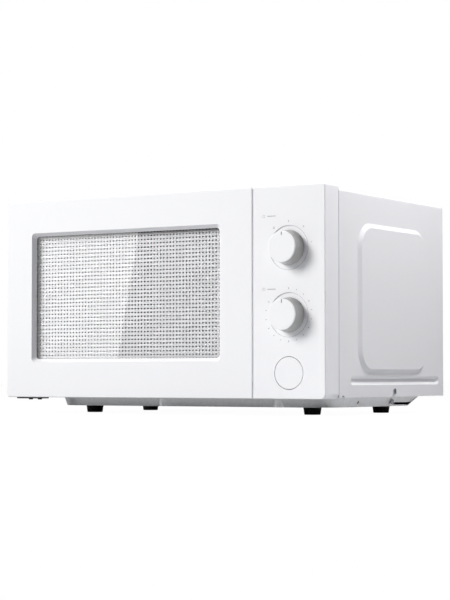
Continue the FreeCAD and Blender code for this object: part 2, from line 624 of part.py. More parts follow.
def door_inside():
    glass = body("door_window_body")
    outline = sketch(glass, "glass_outline", "XZ_Plane", f"-({GLASS_FRONT})")
    window_outline(outline, "(-1.2 + fit)")
    pad(glass, "glass", outline, "glass_thick - fit", True)
    keep("door_window", glass)

    span = (f"{LEFT} + 19", f"{DOOR_RIGHT} - door_wall - fit")
    height = (f"{BOTTOM} + door_wall + 1", f"{TOP} - door_wall - 1")
    screen_back = f"({SCREEN_FRONT} + screen_flange)"
    screen = shell("screen_shell", span, (SCREEN_FRONT, screen_back), height, "case_sheet", "y")
    hooks = [box(f"screen_slot_{level}", (f"{HOOK_X} - hook_slot", f"{HOOK_X} + hook_slot"),
                 (f"{SCREEN_FRONT} - 1", f"{SCREEN_FRONT} + 2"),
                 (f"{BOTTOM} + {level} - 4", f"{BOTTOM} + {level} + hook_tall + hook_lift + 4"))
             for level in ("hook_low", "hook_high")]
    keep("door_screen", cut("screen_slotted", screen, hooks))

    film = box("door_film_sheet", (f"{WINDOW_LEFT} - 2", f"{WINDOW_RIGHT} + 2"),
               (f"{SCREEN_FRONT} + case_sheet", f"{SCREEN_FRONT} + case_sheet + 0.5"),
               (f"{WINDOW_LOW} - 2", f"{WINDOW_HIGH} + 2"))
    keep("door_film", film)

    cover = body("door_cover_body")
    rim = sketch(cover, "cover_outline", "XZ_Plane", f"-({DOOR_BACK})")
    rounded(rim, span, height, "2")
    opening = ((f"{WINDOW_LEFT} - 4", f"{WINDOW_RIGHT} + 4"),
               (f"{WINDOW_LOW} - 4", f"{WINDOW_HIGH} + 4"), "6")
    rounded(rim, *opening)
    for level in ("hook_low", "hook_high"):
        rounded(rim, (f"{HOOK_X} - hook_slot", f"{HOOK_X} + hook_slot"),
                (f"{BOTTOM} + {level} - 3", f"{BOTTOM} + {level} + hook_tall + hook_lift + 3"), "1")
    pad(cover, "cover_plate", rim, "cover_thick")
    lining = sketch(cover, "lining_outline", "XZ_Plane", f"-({DOOR_BACK} - cover_thick)")
    rounded(lining, (f"{WINDOW_LEFT} - 6", f"{WINDOW_RIGHT} + 6"),
            (f"{WINDOW_LOW} - 6", f"{WINDOW_HIGH} + 6"), "8")
    rounded(lining, *opening)
    pad(cover, "lining", lining, f"{DOOR_BACK} - cover_thick - {SCREEN_FRONT} - case_sheet - fit")
    keep("door_cover", cover)


def latch():
    bar_y = (f"{SCREEN_FRONT} - 5", f"{SCREEN_FRONT} - fit")
    bar = box("latch_bar", (f"{HOOK_X} - 5", f"{HOOK_X} + 5"), bar_y,
              (f"{BOTTOM} + hook_low - 12", f"{BOTTOM} + hook_high + 16"))
    pieces = [bar]
    for level in ("hook_low", "hook_high"):
        reach = f"({DOOR_BACK} + hook_reach)"
        thick = (f"{HOOK_X} - hook_wide / 2", f"{HOOK_X} + hook_wide / 2")
        pieces.append(box(f"{level}_arm", thick, (bar_y[0], reach),
                          (f"{BOTTOM} + {level}", f"{BOTTOM} + {level} + hook_tall - 2")))
        pieces.append(box(f"{level}_barb", thick, (f"{reach} - 4", reach),
                          (f"{BOTTOM} + {level} - 1.5", f"{BOTTOM} + {level} + 1")))
    keep("latch_hooks", join("latch_solid", pieces))
    coil = rod("latch_coil", "z", "3.2", "14", HOOK_X, SPRING_Y, SPRING_FOOT)
    core = rod("latch_coil_core", "z", "2.2", "16", HOOK_X, SPRING_Y, f"{SPRING_FOOT} - 1")
    keep("latch_spring", cut("latch_spring_tube", coil, [core]))


def hinges():
    arm_x = (f"{HINGE_X} - 4.5", f"{HINGE_X} + 4.5")
    upper = [
        box("upper_arm", arm_x, (f"{HINGE_Y} - 4.5", PLATE_FRONT), (UPPER_ARM, f"{UPPER_ARM} + 2")),
        rod("upper_pin", "z", "pin_radius", "14", HINGE_X, HINGE_Y, f"{UPPER_ARM} - 13"),
    ]
    keep("upper_hinge", join("upper_hinge_solid", upper))
    lower = [
        box("lower_arm", (f"{HINGE_X} - 6", f"{HINGE_X} + 32"), (f"{HINGE_Y} - 6", PLATE_FRONT),
            (LOWER_ARM, f"{LOWER_ARM} + 1.6")),
        rod("lower_pin", "z", "pin_radius", "13", HINGE_X, HINGE_Y, f"{LOWER_ARM} + 0.5"),
        box("lower_foot", (f"{HINGE_X} + 6", f"{HINGE_X} + 32"), (f"{PLATE_FRONT} - 1", PLATE_FRONT),
            (LOWER_ARM, f"{BOTTOM} - fit")),
    ]
    spots = [(f"{HINGE_X} + {out}", f"{HINGE_Y} - 1", LOWER_ARM) for out in (12, 26)]
    joined = join("lower_hinge_solid", lower)
    keep("lower_hinge", drilled("lower_hinge_drilled", joined, "z", "1.3", spots, "3"))
    keep("hinge_screws", screws("hinge_screw", "z", spots, "2.6", "1.2", "1.2", "1.2"))


# ---------------------------------------------------------------- control panel, knobs and button

DIALS = (("power", "power_height"), ("timer", "timer_height"))


def control_panel():
    panel = body("control_panel_body")
    outline = sketch(panel, "panel_outline", "XZ_Plane", f"-({FRONT})")
    polygon(outline, [(PANEL_LEFT, BOTTOM), (RIGHT, BOTTOM), (RIGHT, TOP), (PANEL_LEFT, TOP)])
    pad(panel, "panel_block", outline, "door_depth", True)
    for name, level, radius in (("low", BOTTOM, "corner_low"), ("high", TOP, "corner_high")):
        soften(panel, f"{name}_corner", radius,
               lambda edge: along(edge, "y") and near(edge.BoundBox.XMin, RIGHT)
               and near(edge.BoundBox.ZMin, level))
    soften(panel, "face_edges", "edge_round",
           lambda edge: near(edge.BoundBox.YMax, FRONT) and near(edge.BoundBox.YMin, FRONT))
    hollow = sketch(panel, "panel_hollow_outline", "XZ_Plane", f"-({DOOR_BACK})")
    rounded(hollow, (f"{PANEL_LEFT} + 2.5", f"{RIGHT} - 2.5"), (f"{BOTTOM} + 2.5", f"{TOP} - 2.5"), "4")
    pocket(panel, "panel_hollow", hollow, "door_depth - door_wall", True)
    dishes = sketch(panel, "dish_outline", "XZ_Plane", f"-({FRONT})")
    holes = sketch(panel, "hole_outline", "XZ_Plane", f"-({FRONT})")
    for name, height in DIALS:
        circle(dishes, "dish_radius", KNOB_X, f"{BOTTOM} + {height}")
        circle(holes, "shaft_hole", KNOB_X, f"{BOTTOM} + {height}")
    pocket(panel, "dishes", dishes, "dish_deep")
    circle(holes, "button_radius + button_gap", KNOB_X, f"{BOTTOM} + button_height")
    pocket(panel, "holes", holes, "door_wall + 1")
    z = f"({BOTTOM} + button_height)"
    guide = rod("button_guide_wall", "y", "button_radius + button_gap + 1.5", "guide_long", KNOB_X,
                f"{FRONT} + door_wall - 0.2", z)
    guide_bore = rod("button_guide_bore", "y", "button_radius + button_gap", "40", KNOB_X, f"{FRONT} - 2", z)
    floor = rod("button_guide_floor", "y", "button_radius + button_gap + 1.5", "1.8", KNOB_X, GUIDE_FLOOR, z)
    floor_bore = rod("button_floor_bore", "y", "4.4", "8", KNOB_X, f"{FRONT} + 14", z)
    tube = cut("button_guide", guide, [guide_bore])
    disc = cut("button_floor", floor, [floor_bore])
    keep("control_panel", join("panel_solid", [panel, tube, disc]))


def dial_knob(name, height):
    knob = body(f"{name}_knob_body")
    half = sketch(knob, f"{name}_half", "XY_Plane")
    back = "(-dish_deep + knob_gap)"
    front = "knob_proud"
    polygon(half, [
        ("0", front), ("knob_face", front), ("knob_base - 0.9", "5"), ("knob_base", back),
        ("knob_base - knob_wall", back), ("knob_face - knob_wall", f"{front} - 2.5"),
        ("7", f"{front} - 2.5"), ("7", back), ("shaft_radius + running_gap", back),
        ("shaft_radius + running_gap", f"{front} - 4"), ("0", f"{front} - 4")])
    revolve(knob, f"{name}_turned", half)
    soften(knob, f"{name}_face_edge", "1",
           lambda edge: near(edge.BoundBox.YMin, front) and near(edge.BoundBox.XMax, "knob_face", 0.1))
    mark = sketch(knob, f"{name}_pointer_outline", "XZ_Plane", f"-({front})")
    rounded(mark, ("-pointer_wide / 2", "pointer_wide / 2"),
            ("(-pointer_out - pointer_long / 2)", "(-pointer_out + pointer_long / 2)"), "0.4")
    pocket(knob, f"{name}_pointer", mark, "pointer_deep", True)
    turned = FreeCAD.Rotation(FreeCAD.Vector(1, 0, 0), 180)
    knob.Placement = FreeCAD.Placement(FreeCAD.Vector(), turned)
    keep(f"{name}_knob", place(knob, KNOB_X, FRONT, f"{BOTTOM} + {height}"))
    start = f"({FRONT} - {front} + 4.4)"
    shaft = rod(f"{name}_shaft_rod", "y", "shaft_radius", f"knob_proud + 22", KNOB_X, start,
                f"{BOTTOM} + {height}")
    keep(f"{name}_shaft", shaft)


def dial_unit(name, height, half, depth):
    """The clockwork or switch box behind a knob, with its bearing for the shaft."""
    z = f"({BOTTOM} + {height})"
    back_of_wall = f"({FRONT} + door_wall)"
    case = box(f"{name}_unit_box", (f"{KNOB_X} - {half}", f"{KNOB_X} + {half}"),
               (back_of_wall, f"{back_of_wall} + {depth}"), (f"{z} - {half}", f"{z} + {half}"))
    lid = box(f"{name}_unit_lid", (f"{KNOB_X} - {half} - 1", f"{KNOB_X} + {half} + 1"),
              (f"{back_of_wall} + {depth} - 2", f"{back_of_wall} + {depth}"),
              (f"{z} - {half} - 1", f"{z} + {half} + 1"))
    tabs = [box(f"{name}_tab_{index}", (f"{KNOB_X} + {side} - 2.4", f"{KNOB_X} + {side} + 2.4"),
                (f"{back_of_wall} + {depth} - 1", f"{back_of_wall} + {depth} + 9"),
                (f"{z} - 12", f"{z} - 11.2"))
            for index, side in enumerate((-10, 10))]
    bore = rod(f"{name}_unit_bore", "y", "shaft_radius + running_gap", "26", KNOB_X,
               f"{back_of_wall} - 1", z)
    keep(f"{name}_unit", cut(f"{name}_unit_bored", join(f"{name}_unit_solid", [case, lid] + tabs), [bore]))


LEVER_Y = f"({PLATE_BACK} + 8)"
LEVER_Z = f"({BOTTOM} + hook_low - 4.5)"


def release_button():
    button = body("release_button_body")
    half = sketch(button, "button_half", "XY_Plane")
    stem_end = f"({LEVER_Y} - lever_thick / 2 - fit - {FRONT})"
    polygon(half, [
        ("0", "0"), ("button_radius", "0"), ("button_radius", "12"), ("button_radius - 2", "12"),
        ("button_radius - 2", "2.5"), ("4", "2.5"), ("4", stem_end), ("0", stem_end)])
    revolve(button, "button_turned", half)
    soften(button, "button_edge", "0.5",
           lambda edge: near(edge.BoundBox.YMax, "0") and near(edge.BoundBox.XMax, "button_radius", 0.1))
    z = f"({BOTTOM} + button_height)"
    keep("release_button", place(button, KNOB_X, FRONT, z))
    spring_start = f"({FRONT} + 2.5 + fit)"
    coil = rod("button_coil", "y", "8", f"{GUIDE_FLOOR} - {spring_start} - fit", KNOB_X, spring_start, z)
    core = rod("button_coil_core", "y", "6.6", "30", KNOB_X, f"{spring_start} - 2", z)
    keep("button_spring", cut("button_spring_tube", coil, [core]))


def release_lever():
    arm_x = (f"{KNOB_X} - 5", f"{KNOB_X} + 5")
    pieces = [
        rod("lever_shaft", "x", "3", f"{KNOB_X} + 12 - {HOOK_X}", f"{HOOK_X} - 6", LEVER_Y, LEVER_Z),
        box("lever_arm", arm_x, (f"{LEVER_Y} - lever_thick / 2", f"{LEVER_Y} + lever_thick / 2"),
            (f"{BOTTOM} + button_height - 5", LEVER_Z)),
        box("lever_finger", (f"{HOOK_X} - 5", f"{HOOK_X} + 1"), (LEVER_Y, f"{LEVER_Y} + 9"),
            (f"{LEVER_Z} - 1.5", f"{LEVER_Z} + 1.5")),
    ]
    keep("release_lever", join("lever_solid", pieces))


def latch_holder():
    wide = (f"{HOOK_X} - 8", f"{HOOK_X} + 8")
    deep = (PLATE_BACK, f"{PLATE_BACK} + 22")
    tall = (f"{BOTTOM} + hook_low - 16", f"{BOTTOM} + hook_high + 26")
    block = box("holder_block", wide, deep, tall)
    channel = box("holder_channel", (f"{HOOK_X} - 6.5", f"{HOOK_X} + 6.5"),
                  (f"{PLATE_BACK} - 1", f"{PLATE_BACK} + 20"), (f"{tall[0]} + 2", f"{tall[1]} - 2"))
    bearing = rod("holder_bearing", "x", "3 + running_gap", "30", f"{HOOK_X} - 15", LEVER_Y, LEVER_Z)
    bridge = box("holder_bridge", wide, (PLATE_BACK, f"{PLATE_BACK} + 20.5"),
                 (f"{BOTTOM} + hook_high - 12", f"{BOTTOM} + hook_high - 9"))
    keep("latch_holder", join("holder_solid", [cut("holder_open", block, [channel, bearing]), bridge]))
    switches = [box(f"microswitch_{index}", (f"{HOOK_X} + 8", f"{HOOK_X} + 14"),
                    (f"{PLATE_BACK} + 3", f"{PLATE_BACK} + 13"), (f"{BOTTOM} + {z}", f"{BOTTOM} + {z + 20}"))
                for index, z in enumerate((70, 100, 176))]
    keep("microswitches", group("microswitch_group", switches))


# ---------------------------------------------------------------- cavity and turntable

FLOOR = CAVITY_LOW
WHEEL_Z = f"({FLOOR} + wheel_radius)"
TRAY_Z = f"({FLOOR} + 2 * wheel_radius)"
GUIDE_LOW, GUIDE_HIGH = f"({BOTTOM} + 118)", f"({BOTTOM} + 198)"
LAMP_Y, LAMP_Z = f"({PLATE_BACK} + 190)", f"({BOTTOM} + 185)"


def cavity():
    """The cavity's walls and roof are one bent sheet, and its floor and rear are flat sheets welded to it."""
    wrap = body("cavity_wrap_body")
    outer = sketch(wrap, "cavity_outline", "XZ_Plane", f"-({PLATE_BACK})")
    rounded(outer, (f"{CAVITY_LEFT} - sheet", f"{CAVITY_RIGHT} + sheet"),
            (f"{CAVITY_LOW} - sheet", f"{CAVITY_HIGH} + sheet"), "cavity_corner + sheet")
    rounded(outer, (CAVITY_LEFT, CAVITY_RIGHT), (CAVITY_LOW, CAVITY_HIGH), "cavity_corner")
    pad(wrap, "cavity_sleeve", outer, "cavity_depth", True)
    across = (f"{CAVITY_LEFT} + cavity_corner", f"{CAVITY_RIGHT} - cavity_corner")
    deep = (PLATE_BACK, CAVITY_REAR)
    floor_gap = box("floor_gap", across, (f"{PLATE_BACK} - 1", f"{CAVITY_REAR} + 1"),
                    (f"{CAVITY_LOW} - 2 * sheet", f"{CAVITY_LOW} + sheet"))
    floor = box("floor_sheet", across, deep, (f"{CAVITY_LOW} - sheet", CAVITY_LOW))
    drive_hole = rod("drive_hole", "z", "9", "6", CAVITY_X, CAVITY_Y, f"{CAVITY_LOW} - 3")
    keep("cavity_floor", cut("floor_pierced", floor, [drive_hole]))
    rear = body("cavity_rear_body")
    rear_outline = sketch(rear, "cavity_rear_outline", "XZ_Plane", f"-({CAVITY_REAR})")
    rounded(rear_outline, (f"{CAVITY_LEFT} - sheet", f"{CAVITY_RIGHT} + sheet"),
            (f"{CAVITY_LOW} - sheet", f"{CAVITY_HIGH} + sheet"), "cavity_corner + sheet")
    pad(rear, "cavity_rear_sheet", rear_outline, "sheet", True)
    keep("cavity_rear", rear)
    wall = (f"{CAVITY_RIGHT} - 1", f"{CAVITY_RIGHT} + 2")
    cuts = [floor_gap, box("wave_opening", wall, (f"{PLATE_BACK} + 105", f"{PLATE_BACK} + 165"),
                           (f"{BOTTOM} + 128", f"{BOTTOM} + 188"))]
    for column in range(6):
        for line in range(6):
            cuts.append(rod(f"air_in_{column}_{line}", "x", "1.7", "3", wall[0],
                            f"{PLATE_BACK} + {27 + 5 * column}", f"{BOTTOM} + {135 + 5 * line}"))
            cuts.append(rod(f"lamp_hole_{column}_{line}", "x", "1.7", "3", wall[0],
                            f"{LAMP_Y} + {5 * column - 12.5}", f"{LAMP_Z} + {5 * line - 12.5}"))
            cuts.append(rod(f"air_out_{column}_{line}", "x", "1.7", "3", f"{CAVITY_LEFT} - 2",
                            f"{PLATE_BACK} + {205 + 5 * column}", f"{BOTTOM} + {160 + 5 * line}"))
    keep("cavity_wrap", cut("wrap_pierced", wrap, cuts))
    keep("waveguide_cover", box("mica_sheet", (f"{CAVITY_RIGHT} - 0.8", CAVITY_RIGHT),
                                (f"{PLATE_BACK} + 97", f"{PLATE_BACK} + 173"),
                                (f"{BOTTOM} + 120", f"{BOTTOM} + 196")))


def glass_tray():
    tray = body("glass_tray_body")
    half = sketch(tray, "tray_half", "XZ_Plane")
    polygon(half, [
        ("0", "0"), ("tray_radius - 16", "0"), ("tray_radius - 1", "9"), ("tray_radius", "11"),
        ("tray_radius - 3", "12.5"), ("tray_radius - 17", "tray_thick"), ("0", "tray_thick")])
    revolve(tray, "tray_turned", half)
    keep("glass_tray", place(tray, CAVITY_X, CAVITY_Y, f"{TRAY_Z} + fit"))


def drive_coupler():
    hub = body("drive_coupler_body")
    base = sketch(hub, "coupler_round", "XY_Plane")
    circle(base, "7")
    pad(hub, "coupler_hub", base, "2 * wheel_radius - 0.5")
    arm = sketch(hub, "coupler_arm_outline", "XY_Plane", "2 * wheel_radius - 6")
    rounded(arm, ("2", "coupler_radius"), ("-3", "3"), "2.5")
    blade = pad(hub, "coupler_arm", arm, "5.5")
    arms = hub.newObject("PartDesign::PolarPattern", "coupler_arms")
    arms.Originals = [blade]
    arms.Axis = (next(item for item in hub.Origin.OriginFeatures if item.Role == "Z_Axis"), [""])
    arms.Angle = 360
    arms.Occurrences = 3
    hub.Tip = arms
    drilled_hub = rod("coupler_socket", "z", "3 + running_gap", "7", CAVITY_X, CAVITY_Y, f"{FLOOR} - 1")
    place(hub, CAVITY_X, CAVITY_Y, f"{FLOOR} + 0.5")
    keep("drive_coupler", cut("coupler_bored", hub, [drilled_hub]))


WHEELS = 3


def roller_ring():
    outer = rod("ring_outer", "z", "ring_radius + ring_wide / 2", "4", CAVITY_X, CAVITY_Y, f"{WHEEL_Z} - 2")
    inner = rod("ring_inner", "z", "ring_radius - ring_wide / 2", "8", CAVITY_X, CAVITY_Y, f"{WHEEL_Z} - 4")
    pieces = [cut("ring_band", outer, [inner])]
    for index in range(WHEELS):
        spin = FreeCAD.Rotation(FreeCAD.Vector(0, 0, 1), 90 + 360 * index / WHEELS)
        axle = doc.addObject("Part::Cylinder", f"axle_{index}")
        axle.Placement = FreeCAD.Placement(FreeCAD.Vector(), spin * TURNS["x"])
        axle.setExpression("Radius", bound("1 * axle_radius"))
        axle.setExpression("Height", bound("ring_wide / 2 + wheel_thick + 3"))
        turn = math.radians(90 + 360 * index / WHEELS)
        place(axle, f"{CAVITY_X} + ring_radius * {math.cos(turn):.6f}",
              f"{CAVITY_Y} + ring_radius * {math.sin(turn):.6f}", WHEEL_Z)
        pieces.append(axle)
        wheel = body(f"roller_wheel_{index + 1}_body")
        half = sketch(wheel, f"wheel_{index}_half", "XZ_Plane")
        inner_face = "(ring_wide / 2 + 1)"
        outer_face = f"({inner_face} + wheel_thick)"
        polygon(half, [
            (inner_face, "axle_radius + running_gap"), (outer_face, "axle_radius + running_gap"),
            (outer_face, "wheel_radius - 1"), (f"{outer_face} - 1", "wheel_radius"),
            (f"{inner_face} + 1", "wheel_radius"), (inner_face, "wheel_radius - 1")])
        revolve(wheel, f"wheel_{index}_turned", half, "H_Axis")
        wheel.Placement = FreeCAD.Placement(FreeCAD.Vector(), spin)
        place(wheel, f"{CAVITY_X} + ring_radius * {math.cos(turn):.6f}",
              f"{CAVITY_Y} + ring_radius * {math.sin(turn):.6f}", WHEEL_Z)
        keep(f"roller_wheel_{index + 1}", wheel)
    keep("roller_ring", join("ring_solid", pieces))


def turntable_motor():
    top = f"({CAVITY_LOW} - sheet)"
    can = rod("motor_can", "z", "motor_radius", "motor_tall", CAVITY_X, CAVITY_Y, f"{top} - motor_tall")
    ears = box("motor_ears", (f"{CAVITY_X} - motor_radius - 8", f"{CAVITY_X} + motor_radius + 8"),
               (f"{CAVITY_Y} - 6", f"{CAVITY_Y} + 6"), (f"{top} - 1.2", top))
    shaft = rod("motor_shaft", "z", "3", "sheet + 5.5", CAVITY_X, CAVITY_Y, top)
    plug = box("motor_plug", (f"{CAVITY_X} + motor_radius - 4", f"{CAVITY_X} + motor_radius + 8"),
               (f"{CAVITY_Y} - 5", f"{CAVITY_Y} + 5"), (f"{top} - motor_tall + 2", f"{top} - 4"))
    keep("turntable_motor", join("motor_solid", [can, ears, shaft, plug]))


# ---------------------------------------------------------------- working parts in the bay

GUN_Y = f"({PLATE_BACK} + 64)"
FINS = 6
FAN_VANES = 5
GUIDE_RIGHT = f"({CAVITY_RIGHT} + sheet + guide_deep)"
FAN_X, FAN_Z = f"({RIGHT} - 58)", f"({BOTTOM} + 158)"
SHROUD_Y = f"({REAR_FRONT} - 56)"


def microwave_source():
    wall = f"({CAVITY_RIGHT} + sheet)"
    guide = shell("waveguide_shell", (wall, GUIDE_RIGHT), (f"{PLATE_BACK} + 58", f"{PLATE_BACK} + 170"),
                  (f"{BOTTOM} + 122", f"{BOTTOM} + 194"), "sheet", "-x")
    antenna_y, antenna_z = f"({GUN_Y} + magnetron_deep / 2 - 20)", f"({GUIDE_LOW} + magnetron_tall / 2)"
    port = rod("antenna_port", "x", "10", "6", f"{GUIDE_RIGHT} - 3", antenna_y, antenna_z)
    keep("waveguide", cut("waveguide_ported", guide, [port]))
    yoke = shell("yoke", (GUIDE_RIGHT, f"{GUIDE_RIGHT} + magnetron_wide"),
                 (GUN_Y, f"{GUN_Y} + magnetron_deep - 22"), (GUIDE_LOW, GUIDE_HIGH), "1.6", "-y")
    through = box("yoke_window", (f"{GUIDE_RIGHT} + 3", f"{GUIDE_RIGHT} + magnetron_wide - 3"),
                  (f"{GUN_Y} + 40", f"{GUN_Y} + magnetron_deep"), (f"{GUIDE_LOW} + 4", f"{GUIDE_HIGH} - 4"))
    pieces = [cut("yoke_open", yoke, [through]),
              rod("anode", "x", "19", "magnetron_wide", GUIDE_RIGHT, antenna_y, antenna_z),
              rod("antenna", "x", "7", "24", f"{GUIDE_RIGHT} - 22", antenna_y, antenna_z),
              box("filter_box",
                  (f"{GUIDE_RIGHT} + magnetron_wide - 1", f"{GUIDE_RIGHT} + magnetron_wide + filter_deep"),
                  (f"{antenna_y} - 24", f"{antenna_y} + 24"), (f"{antenna_z} - 26", f"{antenna_z} + 26"))]
    for index in range(FINS):
        x = f"{GUIDE_RIGHT} + 10 + {index} * fin_pitch"
        pieces.append(box(f"cooling_fin_{index}", (x, f"{x} + fin_thick"),
                          (f"{GUN_Y} + 1", f"{GUN_Y} + magnetron_deep - 24"),
                          (f"{GUIDE_LOW} + 1", f"{GUIDE_HIGH} - 1")))
    keep("magnetron", join("magnetron_solid", pieces))
    keep("thermostat", rod("thermostat_disc", "z", "8", "7", f"{GUIDE_RIGHT} + 24", f"{GUN_Y} + 20",
                           GUIDE_HIGH))
    duct = shell("duct", (wall, f"{GUIDE_RIGHT}"), (f"{PLATE_BACK} + 23", f"{PLATE_BACK} + 57.5"),
                 (f"{BOTTOM} + 130", f"{BOTTOM} + 168"), "1.5", "-x")
    mouth = box("duct_mouth", (f"{GUIDE_RIGHT} - 20", f"{GUIDE_RIGHT} + 2"),
                (f"{PLATE_BACK} + 25", f"{PLATE_BACK} + 54"), (f"{BOTTOM} + 133", f"{BOTTOM} + 165"))
    keep("air_guide", cut("duct_open", duct, [mouth]))


def power_supply():
    x, y = f"({BAY_LEFT} + 14)", f"({PLATE_BACK} + 66)"
    core = box("core_block", (x, f"{x} + core_wide"), (y, f"{y} + core_deep"),
               (PAN_FLOOR, f"{PAN_FLOOR} + core_tall"))
    windows = [box(f"core_window_{index}", (f"{x} + {part} * core_wide - 7", f"{x} + {part} * core_wide + 7"),
                   (f"{y} - 1", f"{y} + core_deep + 1"),
                   (f"{PAN_FLOOR} + 14", f"{PAN_FLOOR} + core_tall - 14"))
               for index, part in enumerate((0.25, 0.75))]
    keep("transformer_core", cut("core_with_windows", core, windows))
    coils = [box(f"coil_{index}", (f"{x} + 15", f"{x} + core_wide - 15"), span,
                 (f"{PAN_FLOOR} + 13", f"{PAN_FLOOR} + core_tall - 13"))
             for index, span in enumerate(((f"{y} - 16", y), (f"{y} + core_deep", f"{y} + core_deep + 16")))]
    keep("transformer_windings", group("coil_group", coils))
    can_x, can_y = f"({BAY_LEFT} + 40)", f"({PLATE_BACK} + 150)"
    can = body("capacitor_body")
    oval = sketch(can, "capacitor_outline", "XY_Plane", PAN_FLOOR)
    rounded(oval, (can_x, f"{can_x} + 52"), (can_y, f"{can_y} + 33"), "16.4")
    pad(can, "capacitor_can", oval, "84")
    terminals = [box(f"terminal_{index}", (f"{can_x} + {15 + 20 * index}", f"{can_x} + {16 + 20 * index}"),
                     (f"{can_y} + 13", f"{can_y} + 19"), (f"{PAN_FLOOR} + 83", f"{PAN_FLOOR} + 95"))
                 for index in range(2)]
    keep("capacitor", join("capacitor_solid", [can] + terminals))
    strap = body("capacitor_clamp_body")
    band = sketch(strap, "clamp_outline", "XY_Plane", f"{PAN_FLOOR} + 22")
    rounded(band, (f"{can_x} - 1.2", f"{can_x} + 53.2"), (f"{can_y} - 1.2", f"{can_y} + 34.2"), "17.6")
    rounded(band, (f"{can_x} - 0.1", f"{can_x} + 52.1"), (f"{can_y} - 0.1", f"{can_y} + 33.1"), "16.5")
    pad(strap, "clamp_band", band, "12")
    leg = box("clamp_leg", (f"{can_x} + 20", f"{can_x} + 32"), (f"{can_y} - 2.4", f"{can_y} - 1.1"),
              (PAN_FLOOR, f"{PAN_FLOOR} + 34"))
    foot = box("clamp_foot", (f"{can_x} + 20", f"{can_x} + 32"), (f"{can_y} - 12", f"{can_y} - 1.2"),
               (PAN_FLOOR, f"{PAN_FLOOR} + 1.2"))
    keep("capacitor_clamp", join("clamp_solid", [strap, leg, foot]))
    keep("diode", rod("diode_body", "x", "3.5", "14", f"{can_x} - 24", f"{can_y} + 16", f"{PAN_FLOOR} + 3.5"))
    board = box("board_sheet", (f"{BAY_LEFT} + 8", f"{INNER_RIGHT} - 20"),
                (f"{SHROUD_Y} + 4", f"{REAR_FRONT} - 8"), (f"{INNER_TOP} - 26", f"{INNER_TOP} - 24.4"))
    blocks = [box(f"board_block_{index}",
                  (f"{BAY_LEFT} + {14 + 22 * index}", f"{BAY_LEFT} + {30 + 22 * index}"),
                  (f"{SHROUD_Y} + 12", f"{SHROUD_Y} + 36"),
                  (f"{INNER_TOP} - 24.6", f"{INNER_TOP} - {12 - 2 * index}"))
              for index in range(3)]
    keep("filter_board", join("board_solid", [board] + blocks))


def fan():
    shroud = box("shroud_sheet", (f"{BAY_LEFT} + 2", f"{INNER_RIGHT} - 4"),
                 (SHROUD_Y, f"{SHROUD_Y} + 2"), (f"{BASE_TOP} + 0.2", f"{INNER_TOP} - 32"))
    ring = rod("shroud_ring", "y", "fan_radius + 5", "fan_thick + 4", FAN_X, SHROUD_Y, FAN_Z)
    opening = rod("shroud_opening", "y", "fan_radius + 2.5", "60", FAN_X, f"{SHROUD_Y} - 10", FAN_Z)
    foot = box("shroud_foot", (f"{BAY_LEFT} + 2", f"{BAY_LEFT} + 60"), (SHROUD_Y, f"{SHROUD_Y} + 14"),
               (f"{BASE_TOP} + 0.2", f"{BASE_TOP} + 2"))
    arms = [box(f"motor_arm_{index}", (f"{FAN_X} - fan_radius - 4.5", f"{FAN_X} + fan_radius + 4.5"),
                (f"{SHROUD_Y} + fan_thick + 2", f"{SHROUD_Y} + fan_thick + 4"),
                (f"{FAN_Z} + {z}", f"{FAN_Z} + {z + 6}"))
            for index, z in enumerate((-20, 14))]
    motor_y = f"({SHROUD_Y} + fan_thick + 4)"
    blank = join("shroud_blank", [shroud, ring, foot])
    keep("fan_shroud", join("shroud_solid", [cut("shroud_open", blank, [opening])] + arms))
    stack = box("motor_stack", (f"{FAN_X} - 24", f"{FAN_X} + 24"), (motor_y, f"{motor_y} + 16"),
                (f"{FAN_Z} - 22", f"{FAN_Z} + 30"))
    coil = box("motor_coil", (f"{FAN_X} - 16", f"{FAN_X} + 16"), (motor_y, f"{motor_y} + 26"),
               (f"{FAN_Z} + 12", f"{FAN_Z} + 28"))
    bore = rod("motor_bore", "y", "2 + running_gap", "40", FAN_X, f"{motor_y} - 5", FAN_Z)
    keep("fan_motor", cut("fan_motor_bored", join("fan_motor_solid", [stack, coil]), [bore]))
    blade = body("fan_blade_body")
    hub = sketch(blade, "fan_hub_outline", "XZ_Plane")
    circle(hub, "fan_hub")
    pad(blade, "hub", hub, "fan_thick - 3")
    low = sketch(blade, "blade_front", "XZ_Plane", "1")
    root, tip = "fan_hub - 3", "fan_radius - 1"
    polygon(low, [(root, "-4"), (tip, "-11"), (tip, "-9.4"), (root, "-2.4")])
    high = sketch(blade, "blade_back", "XZ_Plane", "fan_thick - 4")
    polygon(high, [(root, "2.4"), (tip, "9.4"), (tip, "11"), (root, "4")])
    vane = loft(blade, "vane", low, high)
    vanes = blade.newObject("PartDesign::PolarPattern", "vanes")
    vanes.Originals = [vane]
    vanes.Axis = (next(item for item in blade.Origin.OriginFeatures if item.Role == "Y_Axis"), [""])
    vanes.Angle = 360
    vanes.Occurrences = FAN_VANES
    blade.Tip = vanes
    place(blade, FAN_X, f"{SHROUD_Y} + fan_thick", FAN_Z)
    spindle = rod("fan_spindle", "y", "2", "22", FAN_X, f"{SHROUD_Y} + fan_thick - 6", FAN_Z)
    keep("fan_blade", join("fan_solid", [blade, spindle]))


def lamp():
    x = f"({CAVITY_RIGHT} + sheet)"
    holder = shell("lamp_shell", (x, f"{x} + 30"), (f"{LAMP_Y} - 17", f"{LAMP_Y} + 17"),
                   (f"{LAMP_Z} - 17", f"{LAMP_Z} + 17"), "1.2", "-x")
    socket = rod("lamp_socket", "x", "7", "12", f"{x} + 18", LAMP_Y, LAMP_Z)
    keep("lamp_holder", join("lamp_holder_solid", [holder, socket]))
    bulb = rod("lamp_glass", "x", "6", "12", f"{x} + 6", LAMP_Y, LAMP_Z)
    keep("lamp_bulb", bulb)


